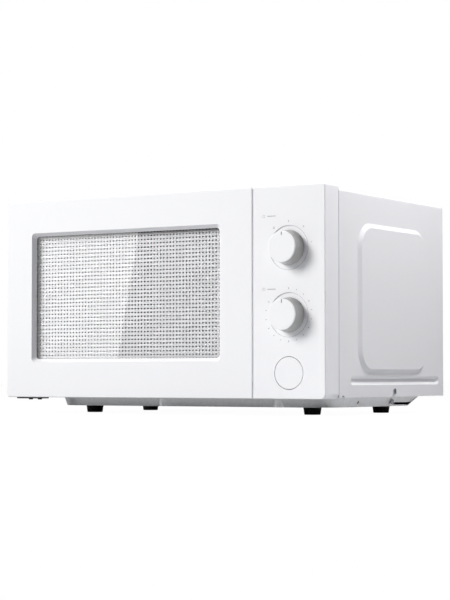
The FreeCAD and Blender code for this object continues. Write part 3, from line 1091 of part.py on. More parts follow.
# ---------------------------------------------------------------- the whole oven

outer_case()
rear_plate()
front_plate()
base_plate()
feet()
door_frame()
door_inside()
latch()
hinges()
control_panel()
for dial, level in DIALS:
    dial_knob(dial, level)
dial_unit("timer", "timer_height", "27", "40")
dial_unit("power", "power_height", "20", "27")
release_button()
release_lever()
latch_holder()
cavity()
glass_tray()
drive_coupler()
roller_ring()
turntable_motor()
microwave_source()
power_supply()
fan()
lamp()
keep("case_screws", screws("case_screw", "-y", CASE_SCREWS, "screw_head", "2", "screw_shank", "6"))
keep("side_screws", group("side_screw_pair", [
    screws("side_screw_right", "-x", SIDE_SCREWS[1:], "screw_head", "screw_head_tall", "screw_shank", "6"),
    screws("side_screw_left", "x", SIDE_SCREWS[:1], "screw_head", "screw_head_tall", "screw_shank", "6")]))
keep("pan_screws", screws("pan_screw", "-x", PAN_SCREWS, "3.2", "screw_head_tall", "screw_shank", "8"))

doc.recompute()
for item in doc.Objects:
    if {"Invalid", "Error"} & set(item.State):
        raise ValueError(f"{item.Name} did not recompute: {item.State}")
os.makedirs("parts", exist_ok=True)
for node in nodes:
    shape = node.Shape
    if shape.isNull() or not shape.isValid() or not shape.Solids:
        raise ValueError(f"{node.Label} has no sound solid")
    shape.exportStep(os.path.join("parts", f"{node.Label}.step"))
print(len(nodes), "nodes written")
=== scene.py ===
import json
import math

import bmesh
import bpy
from mathutils import Matrix, Vector


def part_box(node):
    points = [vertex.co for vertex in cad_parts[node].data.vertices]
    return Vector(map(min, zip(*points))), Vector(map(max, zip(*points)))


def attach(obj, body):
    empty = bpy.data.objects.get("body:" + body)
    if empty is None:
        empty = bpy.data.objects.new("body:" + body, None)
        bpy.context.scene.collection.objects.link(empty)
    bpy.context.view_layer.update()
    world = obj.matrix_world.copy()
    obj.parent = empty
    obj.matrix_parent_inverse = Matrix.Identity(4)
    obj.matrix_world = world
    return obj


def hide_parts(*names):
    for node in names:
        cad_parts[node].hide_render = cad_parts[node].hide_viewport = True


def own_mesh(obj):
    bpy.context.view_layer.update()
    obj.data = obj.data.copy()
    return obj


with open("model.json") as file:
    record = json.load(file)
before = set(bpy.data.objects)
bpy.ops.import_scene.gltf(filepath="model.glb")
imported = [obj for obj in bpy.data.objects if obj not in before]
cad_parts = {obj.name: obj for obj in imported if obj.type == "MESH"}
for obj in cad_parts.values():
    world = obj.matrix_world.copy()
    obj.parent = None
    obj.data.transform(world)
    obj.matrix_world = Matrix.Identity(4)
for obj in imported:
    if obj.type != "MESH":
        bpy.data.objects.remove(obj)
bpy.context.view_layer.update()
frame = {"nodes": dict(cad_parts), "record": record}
nodes = frame["nodes"]
MM = 0.001


# ---------------------------------------------------------------- camera, light and world

def linked(name, data):
    """A new object in the scene that holds some data."""
    thing = bpy.data.objects.new(name, data)
    bpy.context.scene.collection.objects.link(thing)
    return thing


door_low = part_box("door_frame")[0]
FACE, SOLE = door_low.y, door_low.z

camera = linked("camera", bpy.data.cameras.new("camera"))
camera.data.lens = 111.16
camera.location = (1.22019, FACE - 1.80953, SOLE + 0.02642)
camera.rotation_euler = [math.radians(angle) for angle in (92.337, 0, 31.909)]
bpy.context.scene.camera = camera


def linear(colour):
    """An sRGB hex colour as the linear values the shaders take."""
    parts = [int(colour[at:at + 2], 16) / 255 for at in (1, 3, 5)]
    return [p / 12.92 if p <= 0.04045 else ((p + 0.055) / 1.055) ** 2.4 for p in parts] + [1.0]


def add(tree, kind, settings=None, links=None):
    """Adds a node, sets its properties or inputs by name or number, and joins what feeds it."""
    node = tree.nodes.new(kind)
    for key, value in (settings or {}).items():
        if isinstance(key, int) or (key in node.inputs and not hasattr(node, key)):
            node.inputs[key].default_value = value
        else:
            setattr(node, key, value)
    for key, source in (links or {}).items():
        tree.links.new(source, node.inputs[key])
    return node


def lamp(name, size, power, matrix, colour="#ffffff"):
    """A rectangular soft light that shines along its own -Z."""
    data = bpy.data.lights.new(name, "AREA")
    data.shape = "RECTANGLE"
    data.size, data.size_y = size
    data.energy = power
    data.color = linear(colour)[:3]
    light = linked(name, data)
    light.matrix_world = matrix
    return light


def facing(where, target):
    """The place and turn of a light at one point that faces another, with its own X level."""
    back = (Vector(where) - Vector(target)).normalized()
    right = Vector((0, 0, 1)).cross(back).normalized()
    turn = Matrix((right, back.cross(right), back)).transposed().to_4x4()
    return Matrix.Translation(where) @ turn


# a tall soft box leans in on the left, and its near edge shows as the slanted line in the window
BOX_WIDE, BOX_TALL = 0.40, 0.45
edge_foot = Vector((-0.925, FACE - 1.2, 0.02))
edge_up = Vector((0.1966, 0, 0.9805))
box_back = Vector((-0.59, -0.81, 0.1183)).normalized()
box_right = edge_up.cross(box_back).normalized()
box_turn = Matrix((box_right, edge_up, box_back)).transposed().to_4x4()
box_centre = edge_foot + edge_up * BOX_TALL / 2 - box_right * BOX_WIDE / 2
lamp("window_softbox", (BOX_WIDE, BOX_TALL), 1.0, Matrix.Translation(box_centre) @ box_turn)
# a broad light from the far left front, and a small high one over the right wall
lamp("key_light", (2.3, 2.3), 290, facing((-3.1, -3.8, 2.8), (0.1, FACE, 0.13)), "#fffefd")
lamp("side_light", (0.3, 0.3), 8.2, facing((0.60, 0.06, 0.90), (0.22, 0, 0.16)), "#fffdfe")

world = bpy.data.worlds.new("white_studio")
bpy.context.scene.world = world
world.use_nodes = True
world.node_tree.nodes.clear()
seen = add(world.node_tree, "ShaderNodeLightPath").outputs["Is Camera Ray"]
backdrop = add(world.node_tree, "ShaderNodeBackground", {"Color": (1, 1, 1, 1), "Strength": 1.0})
fill = add(world.node_tree, "ShaderNodeBackground", {"Color": linear("#f4f6ff"), "Strength": 0.08})
sky = add(world.node_tree, "ShaderNodeMixShader", {}, {0: seen, 1: fill.outputs[0], 2: backdrop.outputs[0]})
add(world.node_tree, "ShaderNodeOutputWorld", {}, {"Surface": sky.outputs[0]})
bpy.context.scene.view_settings.view_transform = "Standard"


# ---------------------------------------------------------------- finishes

def blank(name, settings):
    """A new material with one Principled shader. Returns it, its tree, its shader and its coordinates."""
    material = bpy.data.materials.new(name)
    material.use_nodes = True
    tree = material.node_tree
    tree.nodes.clear()
    shader = add(tree, "ShaderNodeBsdfPrincipled", settings)
    add(tree, "ShaderNodeOutputMaterial", {}, {"Surface": shader.outputs[0]})
    return material, tree, shader, add(tree, "ShaderNodeTexCoord").outputs["Object"]


def show_instead(tree, source):
    """Leads another shader to a material's output in place of the first."""
    output = next(node for node in tree.nodes if node.bl_idname == "ShaderNodeOutputMaterial")
    tree.links.new(source, output.inputs["Surface"])


def per_metre(size):
    """A texture scale for a feature of this size in millimetres."""
    return 1 / (size * MM)


def drive(tree, shader, pattern, colours, rough, relief):
    """Leads one pattern, 0 to 1, to the colour, the roughness and the bump. relief is in millimetres."""
    tone = add(tree, "ShaderNodeMix", {"data_type": "RGBA", 6: linear(colours[0]), 7: linear(colours[1])},
               {0: pattern})
    gloss = add(tree, "ShaderNodeMapRange", {"To Min": rough[0], "To Max": rough[1]}, {"Value": pattern})
    tree.links.new(tone.outputs[2], shader.inputs["Base Color"])
    tree.links.new(gloss.outputs[0], shader.inputs["Roughness"])
    if relief:
        bump = add(tree, "ShaderNodeBump", {"Strength": 1.0, "Distance": relief * MM}, {"Height": pattern})
        tree.links.new(bump.outputs[0], shader.inputs["Normal"])


def grained(name, colours, rough, grain, relief, detail=2.0, **settings):
    """A solid finish with an even fine grain, for moulded, painted and rubber surfaces."""
    material, tree, shader, place = blank(name, settings)
    noise = add(tree, "ShaderNodeTexNoise", {"Scale": per_metre(grain), "Detail": detail}, {"Vector": place})
    drive(tree, shader, noise.outputs[0], colours, rough, relief)
    return material


def spangled(name, colours, rough, cell, relief, **settings):
    """Zinc-dipped sheet: flat crystals that each throw the light a little differently."""
    material, tree, shader, place = blank(name, {"Metallic": 1.0, **settings})
    cells = add(tree, "ShaderNodeTexVoronoi", {"Scale": per_metre(cell)}, {"Vector": place})
    tint = add(tree, "ShaderNodeSeparateColor", {}, {0: cells.outputs["Color"]})
    drive(tree, shader, tint.outputs[0], colours, rough, relief)
    return material


def streaked(name, colours, rough, width, along, relief, **settings):
    """Drawn, brushed or rolled metal: lines width apart across the surface and long along one axis."""
    material, tree, shader, place = blank(name, {"Metallic": 1.0, **settings})
    stretch = [0.02 if axis == along else 1.0 for axis in "xyz"]
    mapped = add(tree, "ShaderNodeMapping", {"Scale": stretch}, {"Vector": place})
    noise = add(tree, "ShaderNodeTexNoise", {"Scale": per_metre(width), "Detail": 3.0},
                {"Vector": mapped.outputs[0]})
    drive(tree, shader, noise.outputs[0], colours, rough, relief)
    return material


def banded(name, colours, rough, pitch, axis, relief, **settings):
    """Stacked laminations or wound wire: even bands at one pitch."""
    material, tree, shader, place = blank(name, settings)
    # a wave repeats 20 / (2 pi) times for each unit of its scale
    bands = add(tree, "ShaderNodeTexWave",
                {"bands_direction": axis, "Scale": per_metre(pitch) * math.pi / 10, "Distortion": 0.0,
                 "wave_profile": "SIN"}, {"Vector": place})
    drive(tree, shader, bands.outputs["Fac"], colours, rough, relief)
    return material


def clear(name, tint, rough, grain, relief, passes="#fefefe", **settings):
    """Clear glass or film. Lamps reach through it, in the share that passes gives, and light what is behind."""
    material, tree, shader, place = blank(
        name, {"Base Color": linear(tint), "Roughness": rough, "Transmission Weight": 1.0, **settings})
    noise = add(tree, "ShaderNodeTexNoise", {"Scale": per_metre(grain), "Detail": 2.0}, {"Vector": place})
    gloss = add(tree, "ShaderNodeMapRange", {"To Min": rough, "To Max": rough + 0.02},
                {"Value": noise.outputs[0]})
    bump = add(tree, "ShaderNodeBump", {"Strength": 1.0, "Distance": relief * MM},
               {"Height": noise.outputs[0]})
    tree.links.new(gloss.outputs[0], shader.inputs["Roughness"])
    tree.links.new(bump.outputs[0], shader.inputs["Normal"])
    through = add(tree, "ShaderNodeBsdfTransparent", {"Color": linear(passes)})
    lit = add(tree, "ShaderNodeLightPath").outputs["Is Shadow Ray"]
    both = add(tree, "ShaderNodeMixShader", {}, {0: lit, 1: shader.outputs[0], 2: through.outputs[0]})
    show_instead(tree, both.outputs[0])
    return material


MATERIALS = {
    # satin powder coat on drawn steel: a faint orange peel about 1.6 mm wide softens the light
    "painted_steel": grained("satin_powder_coat", ("#eeeff1", "#f2f3f5"), (0.42, 0.52), 1.6, 0.006),
    # hot-dipped zinc sheet of the small-spangle kind: crystals about 2.5 mm wide that barely show
    "galvanised_steel": spangled("zinc_dipped_sheet", ("#e4e5e6", "#edeeef"), (0.32, 0.42), 2.5, 0.0015),
    # speckled oven enamel: glassy mid grey with darker specks; the grey is kept dark as painted shade, standing
    # in for the shade inside the closed oven behind the screen
    "enamelled_steel": grained("speckled_enamel_and_painted_shade", ("#5a5d60", "#74777a"), (0.14, 0.24), 1.1, 0.010,
                               detail=6.0),
    # pressed mica: pearly tan flakes
    "mica": grained("pressed_mica", ("#9c8b68", "#d0c19c"), (0.28, 0.62), 3.5, 0.03, detail=5.0),
    # thin stamped aluminium: soft lines along the roll
    "aluminium_fins": streaked("stamped_aluminium", ("#a9acb0", "#d9dbde"), (0.28, 0.46), 0.5, "y", 0.004),
    # core plates are 0.5 mm, drawn 1.4 mm so that the stack shows
    "core_steel": banded("stacked_core_plates", ("#2d2e31", "#55575b"), (0.45, 0.62), 1.4, "Y", 0.10,
                         Metallic=0.8),
    # lacquered copper wire 1.2 mm thick, wound in rows
    "copper_wire": banded("lacquered_copper_wire", ("#5a2c12", "#b5673a"), (0.22, 0.38), 1.2, "Z", 0.30,
                          Metallic=0.7, **{"Coat Weight": 0.4, "Coat Roughness": 0.15}),
    # tin-plated can: bright, with faint drawing lines up its wall
    "can_steel": streaked("tinned_can", ("#a3a5a8", "#cfd1d3"), (0.24, 0.40), 0.8, "z", 0.004),
    # black nylon: dull, with a fine moulded grain
    "black_plastic": grained("black_nylon", ("#17181a", "#232427"), (0.42, 0.58), 0.7, 0.012),
    # green lacquer over glass weave: a broad, faint mottle
    "circuit_board": grained("green_board", ("#1d4a26", "#2f6a36"), (0.30, 0.45), 4.0, 0.02),
    # uncoloured moulded plastic: warm white, a little waxy
    "inner_plastic": grained("natural_acetal", ("#dedacf", "#eae7de"), (0.34, 0.46), 1.2, 0.008),
    # blown bulb glass and pressed tray glass: clear, with slow waves in the surface
    "lamp_glass": clear("bulb_glass", "#fbf6e8", 0.03, 12, 0.02, IOR=1.5),
    "tray_glass": clear("tempered_glass", "#e9f4f1", 0.02, 9, 0.03, IOR=1.5),
    # satin moulded plastic: a fine spark-etched grain, 0.3 mm in the tool and drawn 0.8 mm
    "white_plastic": grained("satin_white_plastic", ("#f4f5f8", "#f8f9fb"), (0.36, 0.44), 0.8, 0.003, IOR=1.53),
    # flat window glass: only a trace of a wave
    "door_glass": clear("window_glass", "#fefefe", 0.01, 60, 0.01, IOR=1.5),
    # light grey enamelled sheet with a slight grain
    "screen_steel": grained("grey_screen_enamel", ("#a9aaac", "#b1b2b4"), (0.40, 0.52), 1.0, 0.004),
    # thin polyester film: clear to look through, and it keeps most of the lamps' light out of the oven
    "clear_film": clear("clear_film", "#fefefe", 0.04, 20, 0.02, passes="#6e6e6e", IOR=1.49),
    # pale grey moulding behind the door: satin, with a fine grain
    "cover_plastic": grained("pale_grey_plastic", ("#cfd1d4", "#d8dadc"), (0.38, 0.50), 0.9, 0.006),
    # bright drawn wire: sharp glints along each turn
    "spring_steel": streaked("bright_drawn_wire", ("#8e9195", "#c8cbcf"), (0.18, 0.34), 0.4, "z", 0.003),
    # stoved black paint: satin, with a slight orange peel
    "black_steel": grained("black_stoved_paint", ("#191a1c", "#232527"), (0.34, 0.50), 1.2, 0.006),
    # moulded rubber: near black, dull, with a fine bloom
    "black_rubber": grained("moulded_rubber", ("#0d0d0e", "#1c1c1e"), (0.36, 0.62), 1.4, 0.02, detail=4.0),
    # nickel-plated screws: bright, with fine turning lines
    "chrome_screws": streaked("nickel_plate", ("#a9acaf", "#dfe1e3"), (0.14, 0.26), 0.5, "x", 0.003),
}


def knob_plastic_and_painted_shade(level):
    """The knobs' satin moulding: white on the face, and silver grey on the skirt behind a level along Y. The
    grey on the skirt is painted shade: it darkens the skirt's colour in place of the shade that falls on the
    knobs' sides.
    """
    material, tree, shader, place = blank("knob_plastic_and_painted_shade", {"IOR": 1.53})
    noise = add(tree, "ShaderNodeTexNoise", {"Scale": per_metre(0.8), "Detail": 2.0},
                {"Vector": place}).outputs[0]
    drive(tree, shader, noise, ("#f6f7f9", "#fafbfc"), (0.36, 0.44), 0.003)
    white = shader.inputs["Base Color"].links[0].from_socket
    # painted shade: the skirt's silver grey stands in for the shade on the knobs' sides
    grey = add(tree, "ShaderNodeMix", {"data_type": "RGBA", 6: linear("#b6b6b5"), 7: linear("#bebebd")},
               {0: noise})
    depth = add(tree, "ShaderNodeSeparateXYZ", {}, {0: place}).outputs[1]
    behind = add(tree, "ShaderNodeMapRange", {"From Min": level - BLEND, "From Max": level + BLEND},
                 {"Value": depth})
    tone = add(tree, "ShaderNodeMix", {"data_type": "RGBA"},
               {0: behind.outputs[0], 6: white, 7: grey.outputs[2]})
    tree.links.new(tone.outputs[2], shader.inputs["Base Color"])
    return material


# the painted shade on the knob skirts starts 1.1 mm behind the knobs' faces, over a seam 0.3 mm wide
BLEND = 0.15 * MM
KNOB_PLASTIC_AND_PAINTED_SHADE = knob_plastic_and_painted_shade(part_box("power_knob")[0].y + 1.1 * MM)
SLOTS = {part["node"]: part["material_slot"] for part in frame["record"]["subparts"]}
for name, node in nodes.items():
    for holder in node.material_slots:
        holder.material = KNOB_PLASTIC_AND_PAINTED_SHADE if name.endswith("_knob") else MATERIALS[SLOTS[name]]


# ---------------------------------------------------------------- tools for new pieces

def piece(name, mesh, slot, body, replaced=(), material=None):
    """Turns a finished bmesh into a piece at the origin that rides on a CAD body."""
    data = bpy.data.meshes.new(name)
    mesh.to_mesh(data)
    mesh.free()
    thing = linked(name, data)
    data.materials.append(material or MATERIALS[slot])
    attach(thing, body)
    if replaced:
        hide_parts(*replaced)
    return thing


def shade(mesh, smooth):
    for face in mesh.faces:
        face.smooth = smooth


def verts_of(result):
    return [item for item in result["geom"] if isinstance(item, bmesh.types.BMVert)]


def open_edges(mesh):
    return [edge for edge in mesh.edges if edge.is_boundary]


def middle(pair, axis):
    return (pair[0][axis] + pair[1][axis]) / 2


# ---------------------------------------------------------------- perforated window screen

HOLE_PITCH = 4.57 * MM
HOLE_RADIUS = 1.15 * MM
COLUMNS, ROWS = 60, 34
FIELD_X, FIELD_Z = COLUMNS * HOLE_PITCH / 2, ROWS * HOLE_PITCH / 2
FINE = 0.01 * MM
HOOK_SLOT = 4 * MM

screen_low, screen_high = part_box("door_screen")
film_low, film_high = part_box("door_film")
hooks_low, hooks_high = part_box("latch_hooks")
SHEET = film_low.y - screen_low.y
WINDOW_X = (film_low.x + film_high.x) / 2
WINDOW_Z = (film_low.z + film_high.z) / 2
HOOK_X = (hooks_low.x + hooks_high.x) / 2
# each hook's slot leaves room below and above it, and for its lift
HOOK_SPANS = ((hooks_low.z - 3 * MM, hooks_low.z + 17 * MM), (hooks_high.z - 17 * MM, hooks_high.z + 7 * MM))


def hole_field(mesh):
    """Cells side by side: each is a square whose corners and mid-sides ring an eight-sided hole."""
    bmesh.ops.create_circle(mesh, segments=8, radius=HOLE_RADIUS)
    for vert in verts_of(bmesh.ops.extrude_edge_only(mesh, edges=mesh.edges)):
        vert.co *= HOLE_PITCH / 2 / max(abs(vert.co.x), abs(vert.co.y))
    bmesh.ops.rotate(mesh, verts=mesh.verts, cent=(0, 0, 0), matrix=Matrix.Rotation(math.pi / 2, 3, "X"))
    corner = Vector((WINDOW_X - (COLUMNS - 1) * HOLE_PITCH / 2, screen_low.y,
                     WINDOW_Z - (ROWS - 1) * HOLE_PITCH / 2))
    bmesh.ops.translate(mesh, verts=mesh.verts, vec=corner)
    for step, count in (((HOLE_PITCH, 0, 0), COLUMNS), ((0, 0, HOLE_PITCH), ROWS)):
        bmesh.ops.spin(mesh, geom=mesh.verts[:] + mesh.edges[:] + mesh.faces[:], angle=0, steps=count - 1,
                       axis=(0, 1, 0), cent=(0, 0, 0), dvec=step, use_duplicate=True)
    bmesh.ops.remove_doubles(mesh, verts=mesh.verts, dist=FINE)


def border_and_flange(mesh):
    """The plain border grows from the field's edge out to the sheet's edge, and the flanges from there."""
    rim = [edge for edge in open_edges(mesh)
           if all(max(abs(vert.co.x - WINDOW_X) - FIELD_X, abs(vert.co.z - WINDOW_Z) - FIELD_Z) > -FINE
                  for vert in edge.verts)]
    border = bmesh.ops.extrude_edge_only(mesh, edges=rim)
    sheet = screen_high - screen_low
    for vert in verts_of(border):
        vert.co.x = screen_low.x + (vert.co.x - WINDOW_X + FIELD_X) / (2 * FIELD_X) * sheet.x
        vert.co.z = screen_low.z + (vert.co.z - WINDOW_Z + FIELD_Z) / (2 * FIELD_Z) * sheet.z
    outer = [item for item in border["geom"] if isinstance(item, bmesh.types.BMEdge) and item.is_boundary]
    flange = bmesh.ops.extrude_edge_only(mesh, edges=outer)
    bmesh.ops.translate(mesh, verts=verts_of(flange), vec=(0, sheet.y, 0))


def score(mesh, faces, place, normal):
    """Cuts some faces, with their edges and corners, along a plane."""
    edges = list({edge for face in faces for edge in face.edges})
    corners = list({vert for face in faces for vert in face.verts})
    bmesh.ops.bisect_plane(mesh, geom=faces + edges + corners, plane_co=place, plane_no=normal, dist=FINE)


def hook_slots(mesh):
    """The two slots that the latch hooks pass through."""
    for side in (-HOOK_SLOT, HOOK_SLOT):
        near = [face for face in mesh.faces if face.calc_center_median().x > WINDOW_X + FIELD_X]
        score(mesh, near, (HOOK_X + side, 0, 0), (1, 0, 0))
    for level in [level for span in HOOK_SPANS for level in span]:
        near = [face for face in mesh.faces if abs(face.calc_center_median().x - HOOK_X) < HOOK_SLOT]
        score(mesh, near, (0, 0, level), (0, 0, 1))
    gone = [face for face in mesh.faces if abs(face.calc_center_median().x - HOOK_X) < HOOK_SLOT
            and abs(face.calc_center_median().y - screen_low.y) < FINE
            and any(low < face.calc_center_median().z < high for low, high in HOOK_SPANS)]
    bmesh.ops.delete(mesh, geom=gone, context="FACES")


def perforated_screen():
    """The pressed steel tray behind the glass, with its field of holes and a slot for each hook."""
    mesh = bmesh.new()
    hole_field(mesh)
    border_and_flange(mesh)
    hook_slots(mesh)
    bmesh.ops.recalc_face_normals(mesh, faces=mesh.faces)
    centre = Vector((WINDOW_X, screen_low.y, WINDOW_Z))
    front = min(mesh.faces, key=lambda face: (face.calc_center_median() - centre).length)
    if front.normal.y > 0:
        bmesh.ops.reverse_faces(mesh, faces=mesh.faces)
    bmesh.ops.solidify(mesh, geom=mesh.faces, thickness=SHEET)
    shade(mesh, False)
    return mesh


piece("door_screen_sheet", perforated_screen(), "screen_steel", "door", ("door_screen",))


# ---------------------------------------------------------------- coil springs

WIRE_SIDES = 8
STEPS_PER_TURN = 18


def coil(node, axis, wire, turns, name, body):
    """A helical spring that fills the CAD tube's box."""
    low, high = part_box(node)
    tall = high[axis] - low[axis]
    radius = (high.x - low.x) / 2
    steps = turns * STEPS_PER_TURN
    mesh = bmesh.new()
    bmesh.ops.create_circle(mesh, segments=WIRE_SIDES, radius=wire)
    bmesh.ops.rotate(mesh, verts=mesh.verts, cent=(0, 0, 0), matrix=Matrix.Rotation(math.pi / 2, 3, "X"))
    bmesh.ops.translate(mesh, verts=mesh.verts, vec=(radius - wire, 0, wire))
    bmesh.ops.spin(mesh, geom=mesh.verts[:] + mesh.edges[:], angle=math.tau * turns, steps=steps,
                   axis=(0, 0, 1), cent=(0, 0, 0), dvec=(0, 0, (tall - 2 * wire) / steps))
    bmesh.ops.holes_fill(mesh, edges=open_edges(mesh), sides=WIRE_SIDES)
    bmesh.ops.recalc_face_normals(mesh, faces=mesh.faces)
    if axis == 1:
        bmesh.ops.rotate(mesh, verts=mesh.verts, cent=(0, 0, 0), matrix=Matrix.Rotation(-math.pi / 2, 3, "X"))
    foot = (low + high) / 2
    foot[axis] = low[axis]
    bmesh.ops.translate(mesh, verts=mesh.verts, vec=foot)
    shade(mesh, True)
    thing = piece(name, mesh, "spring_steel", body, (node,))
    held = foot.copy()
    held[axis] = high[axis]
    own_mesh(thing)


# a light spring of 0.8 mm wire over the hooks, and a stronger one of 1.2 mm wire behind the button
coil("latch_spring", 2, 0.4 * MM, 7, "latch_return_coil", "door")
coil("button_spring", 1, 0.6 * MM, 5, "button_return_coil", "cabinet")


# ---------------------------------------------------------------- screws

HEAD_RADIUS = 3.6 * MM
PAN_HEAD_RADIUS = 3.2 * MM
SHANK_RADIUS = 1.8 * MM


def cross_head(mesh, radius, tall, length, matrix):
    """A pan-head screw, its head's top on the XY plane and its shank down -Z, then moved by a matrix."""
    head = bmesh.new()
    bmesh.ops.create_grid(head, x_segments=5, y_segments=5, size=radius * 0.7)
    cross = []
    for face in head.faces:
        away = sorted(abs(part) for part in face.calc_center_median()[:2])
        if away[0] < radius * 0.05 and away[1] < radius * 0.4:
            cross.append(face)
    bmesh.ops.inset_region(head, faces=cross, thickness=radius * 0.02, depth=-tall * 0.55, use_even_offset=True)
    for grow, drop in ((1.0, tall * 0.3), (1.0, tall * 0.7)):
        new = verts_of(bmesh.ops.extrude_edge_only(head, edges=open_edges(head)))
        for vert in new:
            flat = Vector((vert.co.x, vert.co.y, 0)).normalized() * radius * grow
            vert.co = Vector((flat.x, flat.y, vert.co.z - drop))
    bmesh.ops.holes_fill(head, edges=open_edges(head), sides=40)
    bmesh.ops.recalc_face_normals(head, faces=head.faces)
    rod = bmesh.ops.create_cone(head, cap_ends=True, segments=16, radius1=SHANK_RADIUS * 0.8,
                                radius2=SHANK_RADIUS, depth=length)["verts"]
    bmesh.ops.translate(head, verts=rod, vec=(0, 0, -tall - length / 2))
    bmesh.ops.transform(head, matrix=matrix, verts=head.verts)
    part = bpy.data.meshes.new("screw")
    head.to_mesh(part)
    head.free()
    mesh.from_mesh(part)
    bpy.data.meshes.remove(part)


def screw_set(node, name, tall, radius, length, way, spots):
    """Screws whose heads point along a direction, with their tops at the given spots."""
    turn = Vector(way).to_track_quat("Z", "Y").to_matrix().to_4x4()
    mesh = bmesh.new()
    for spot in spots:
        cross_head(mesh, radius, tall, length, Matrix.Translation(spot) @ turn)
    shade(mesh, False)
    piece(name, mesh, SLOTS[node], "cabinet", (node,))


TALL_HEAD, LOW_HEAD = 2 * MM, 1.6 * MM
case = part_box("case_screws")
screw_set("case_screws", "case_screw_set", TALL_HEAD, HEAD_RADIUS, case[1].y - case[0].y - TALL_HEAD, (0, 1, 0),
          [(x, case[1].y, z) for x in (case[0].x + HEAD_RADIUS, case[1].x - HEAD_RADIUS)
           for z in (case[0].z + HEAD_RADIUS, case[1].z - HEAD_RADIUS)])
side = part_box("side_screws")
for end, name, way in ((1, "side_screw_right", (1, 0, 0)), (0, "side_screw_left", (-1, 0, 0))):
    screw_set("side_screws", name, LOW_HEAD, HEAD_RADIUS, 6 * MM, way,
              [(side[end].x, middle(side, 1), middle(side, 2))])
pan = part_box("pan_screws")
screw_set("pan_screws", "pan_screw_cross", LOW_HEAD, PAN_HEAD_RADIUS, pan[1].x - pan[0].x - LOW_HEAD, (1, 0, 0),
          [(pan[1].x, middle(pan, 1), middle(pan, 2))])


# ---------------------------------------------------------------- printed marks and pointers

PRINT_PROUD = 0.05 * MM
# the marks stand round the knob, outside the thin line at the edge of its dish
MARK_REACH = 30 * MM
RING_LINE = 25.05 * MM
SIGN_LEFT = 32.5 * MM
DASH_LEFT = 22.3 * MM
SIGN_UP = {"power": 36.4 * MM, "timer": 29.3 * MM}
DIALS = {name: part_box(f"{name}_knob") for name in SIGN_UP}


def bar(mesh, x, z, long, wide, angle):
    """A flat bar in the XY plane, its length along an angle in degrees."""
    made = bmesh.ops.create_grid(mesh, x_segments=1, y_segments=1, size=0.5)["verts"]
    bmesh.ops.scale(mesh, verts=made, vec=(long, wide, 1))
    bmesh.ops.rotate(mesh, verts=made, cent=(0, 0, 0), matrix=Matrix.Rotation(math.radians(angle), 3, "Z"))
    bmesh.ops.translate(mesh, verts=made, vec=(x, z, 0))


def hoop(mesh, x, z, radius, wide, segments):
    """A flat ring in the XY plane, from its inner radius outwards."""
    ring = bmesh.ops.create_circle(mesh, segments=segments, radius=radius)["verts"]
    rim = [edge for edge in mesh.edges if edge.verts[0] in ring]
    outer = verts_of(bmesh.ops.extrude_edge_only(mesh, edges=rim))
    bmesh.ops.scale(mesh, verts=outer, vec=(1 + wide / radius, 1 + wide / radius, 1))
    bmesh.ops.translate(mesh, verts=ring + outer, vec=(x, z, 0))


def stand_up(mesh, level, thick):
    """Turns flat marks from the XY plane to face -Y at a level, and gives them a thickness behind."""
    bmesh.ops.recalc_face_normals(mesh, faces=mesh.faces)
    for face in mesh.faces:
        if face.normal.z < 0:
            face.normal_flip()
    bmesh.ops.rotate(mesh, verts=mesh.verts, cent=(0, 0, 0), matrix=Matrix.Rotation(math.pi / 2, 3, "X"))
    bmesh.ops.translate(mesh, verts=mesh.verts, vec=(0, level, 0))
    bmesh.ops.solidify(mesh, geom=mesh.faces, thickness=thick)
    shade(mesh, False)


def round_dial(name, angle):
    """The place of a mark at an angle in degrees round a knob."""
    turn = math.radians(angle)
    return (middle(DIALS[name], 0) + MARK_REACH * math.cos(turn),
            middle(DIALS[name], 2) + MARK_REACH * math.sin(turn))


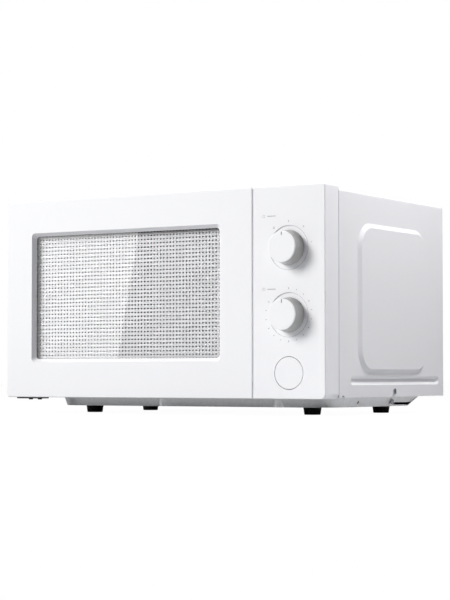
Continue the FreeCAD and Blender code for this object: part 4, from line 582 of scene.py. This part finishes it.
def dial_marks():
    """The dash, small sign, ring line and setting marks of both dials, with no lettering."""
    mesh = bmesh.new()
    hoop(mesh, *round_dial("power", 130), 0.8 * MM, 0.5 * MM, 6)
    hoop(mesh, *round_dial("power", 50), 0.8 * MM, 0.4 * MM, 4)
    ticks = [("power", 90, 2.2, 0.6), ("power", 10, 1.6, 0.5)]
    ticks += [("timer", 90 - 20 * step, 1.4 if step % 3 else 2.2, 0.6) for step in range(16)]
    for name, angle, long, wide in ticks:
        bar(mesh, *round_dial(name, angle), long * MM, wide * MM, angle)
    for name, knob in DIALS.items():
        x, z = middle(knob, 0), middle(knob, 2)
        hoop(mesh, x, z, RING_LINE, 0.28 * MM, 96)
        hoop(mesh, x - SIGN_LEFT, z + SIGN_UP[name], 1.5 * MM, 0.3 * MM, 6 if name == "power" else 20)
        bar(mesh, x - DASH_LEFT, z + SIGN_UP[name], 10.8 * MM, 0.7 * MM, 0)
    # the timer's round sign has a hand
    bar(mesh, middle(DIALS["timer"], 0) - SIGN_LEFT, middle(DIALS["timer"], 2) + SIGN_UP["timer"] + 0.4 * MM,
        0.9 * MM, 0.3 * MM, 90)
    stand_up(mesh, FACE - PRINT_PROUD, 2 * PRINT_PROUD)
    return mesh


# pad-printed grey ink for the marks, and a darker grey fill in the pointer grooves: flat and dull, with
# slightly uneven cover
MARK_INK = grained("printed_grey_ink", ("#8b8e93", "#a3a6aa"), (0.50, 0.64), 0.9, 0.0)
POINTER_DARK_FILL = grained("pointer_groove_dark_fill", ("#5d6065", "#74777c"), (0.42, 0.56), 0.9, 0.0)
piece("dial_marks", dial_marks(), "white_plastic", "cabinet", material=MARK_INK)


def pointer(knob):
    """A darker grey strip in the bottom of a knob's pointer groove."""
    mesh = bmesh.new()
    bar(mesh, middle(knob, 0), middle(knob, 2) + 15 * MM, 4.1 * MM, 1.0 * MM, 90)
    stand_up(mesh, knob[0].y + 0.3 * MM, 0.2 * MM)
    return mesh


for name, knob in DIALS.items():
    piece(f"{name}_pointer_line", pointer(knob), "white_plastic", f"{name}_control", material=POINTER_DARK_FILL)


# ---------------------------------------------------------------- floor and its finish

floor_mesh = bmesh.new()
bmesh.ops.create_grid(floor_mesh, x_segments=1, y_segments=1, size=6)
floor_data = bpy.data.meshes.new("floor")
floor_mesh.to_mesh(floor_data)
floor_mesh.free()
floor = linked("floor", floor_data)
floor.location.z = -0.2 * MM
# matt paper: nearly pure white to look at, and greyer in the light that it throws back
paper, paper_tree, paper_shader, _ = blank("white_paper", {"Base Color": linear("#c4c5c6"), "Roughness": 0.9})
glow = add(paper_tree, "ShaderNodeEmission", {"Color": (1, 1, 1, 1), "Strength": 1.05})
white = add(paper_tree, "ShaderNodeMixShader", {0: 0.93}, {1: paper_shader.outputs[0], 2: glow.outputs[0]})
direct = add(paper_tree, "ShaderNodeLightPath").outputs["Is Camera Ray"]
both = add(paper_tree, "ShaderNodeMixShader", {},
           {0: direct, 1: paper_shader.outputs[0], 2: white.outputs[0]})
show_instead(paper_tree, both.outputs[0])
floor_data.materials.append(paper)
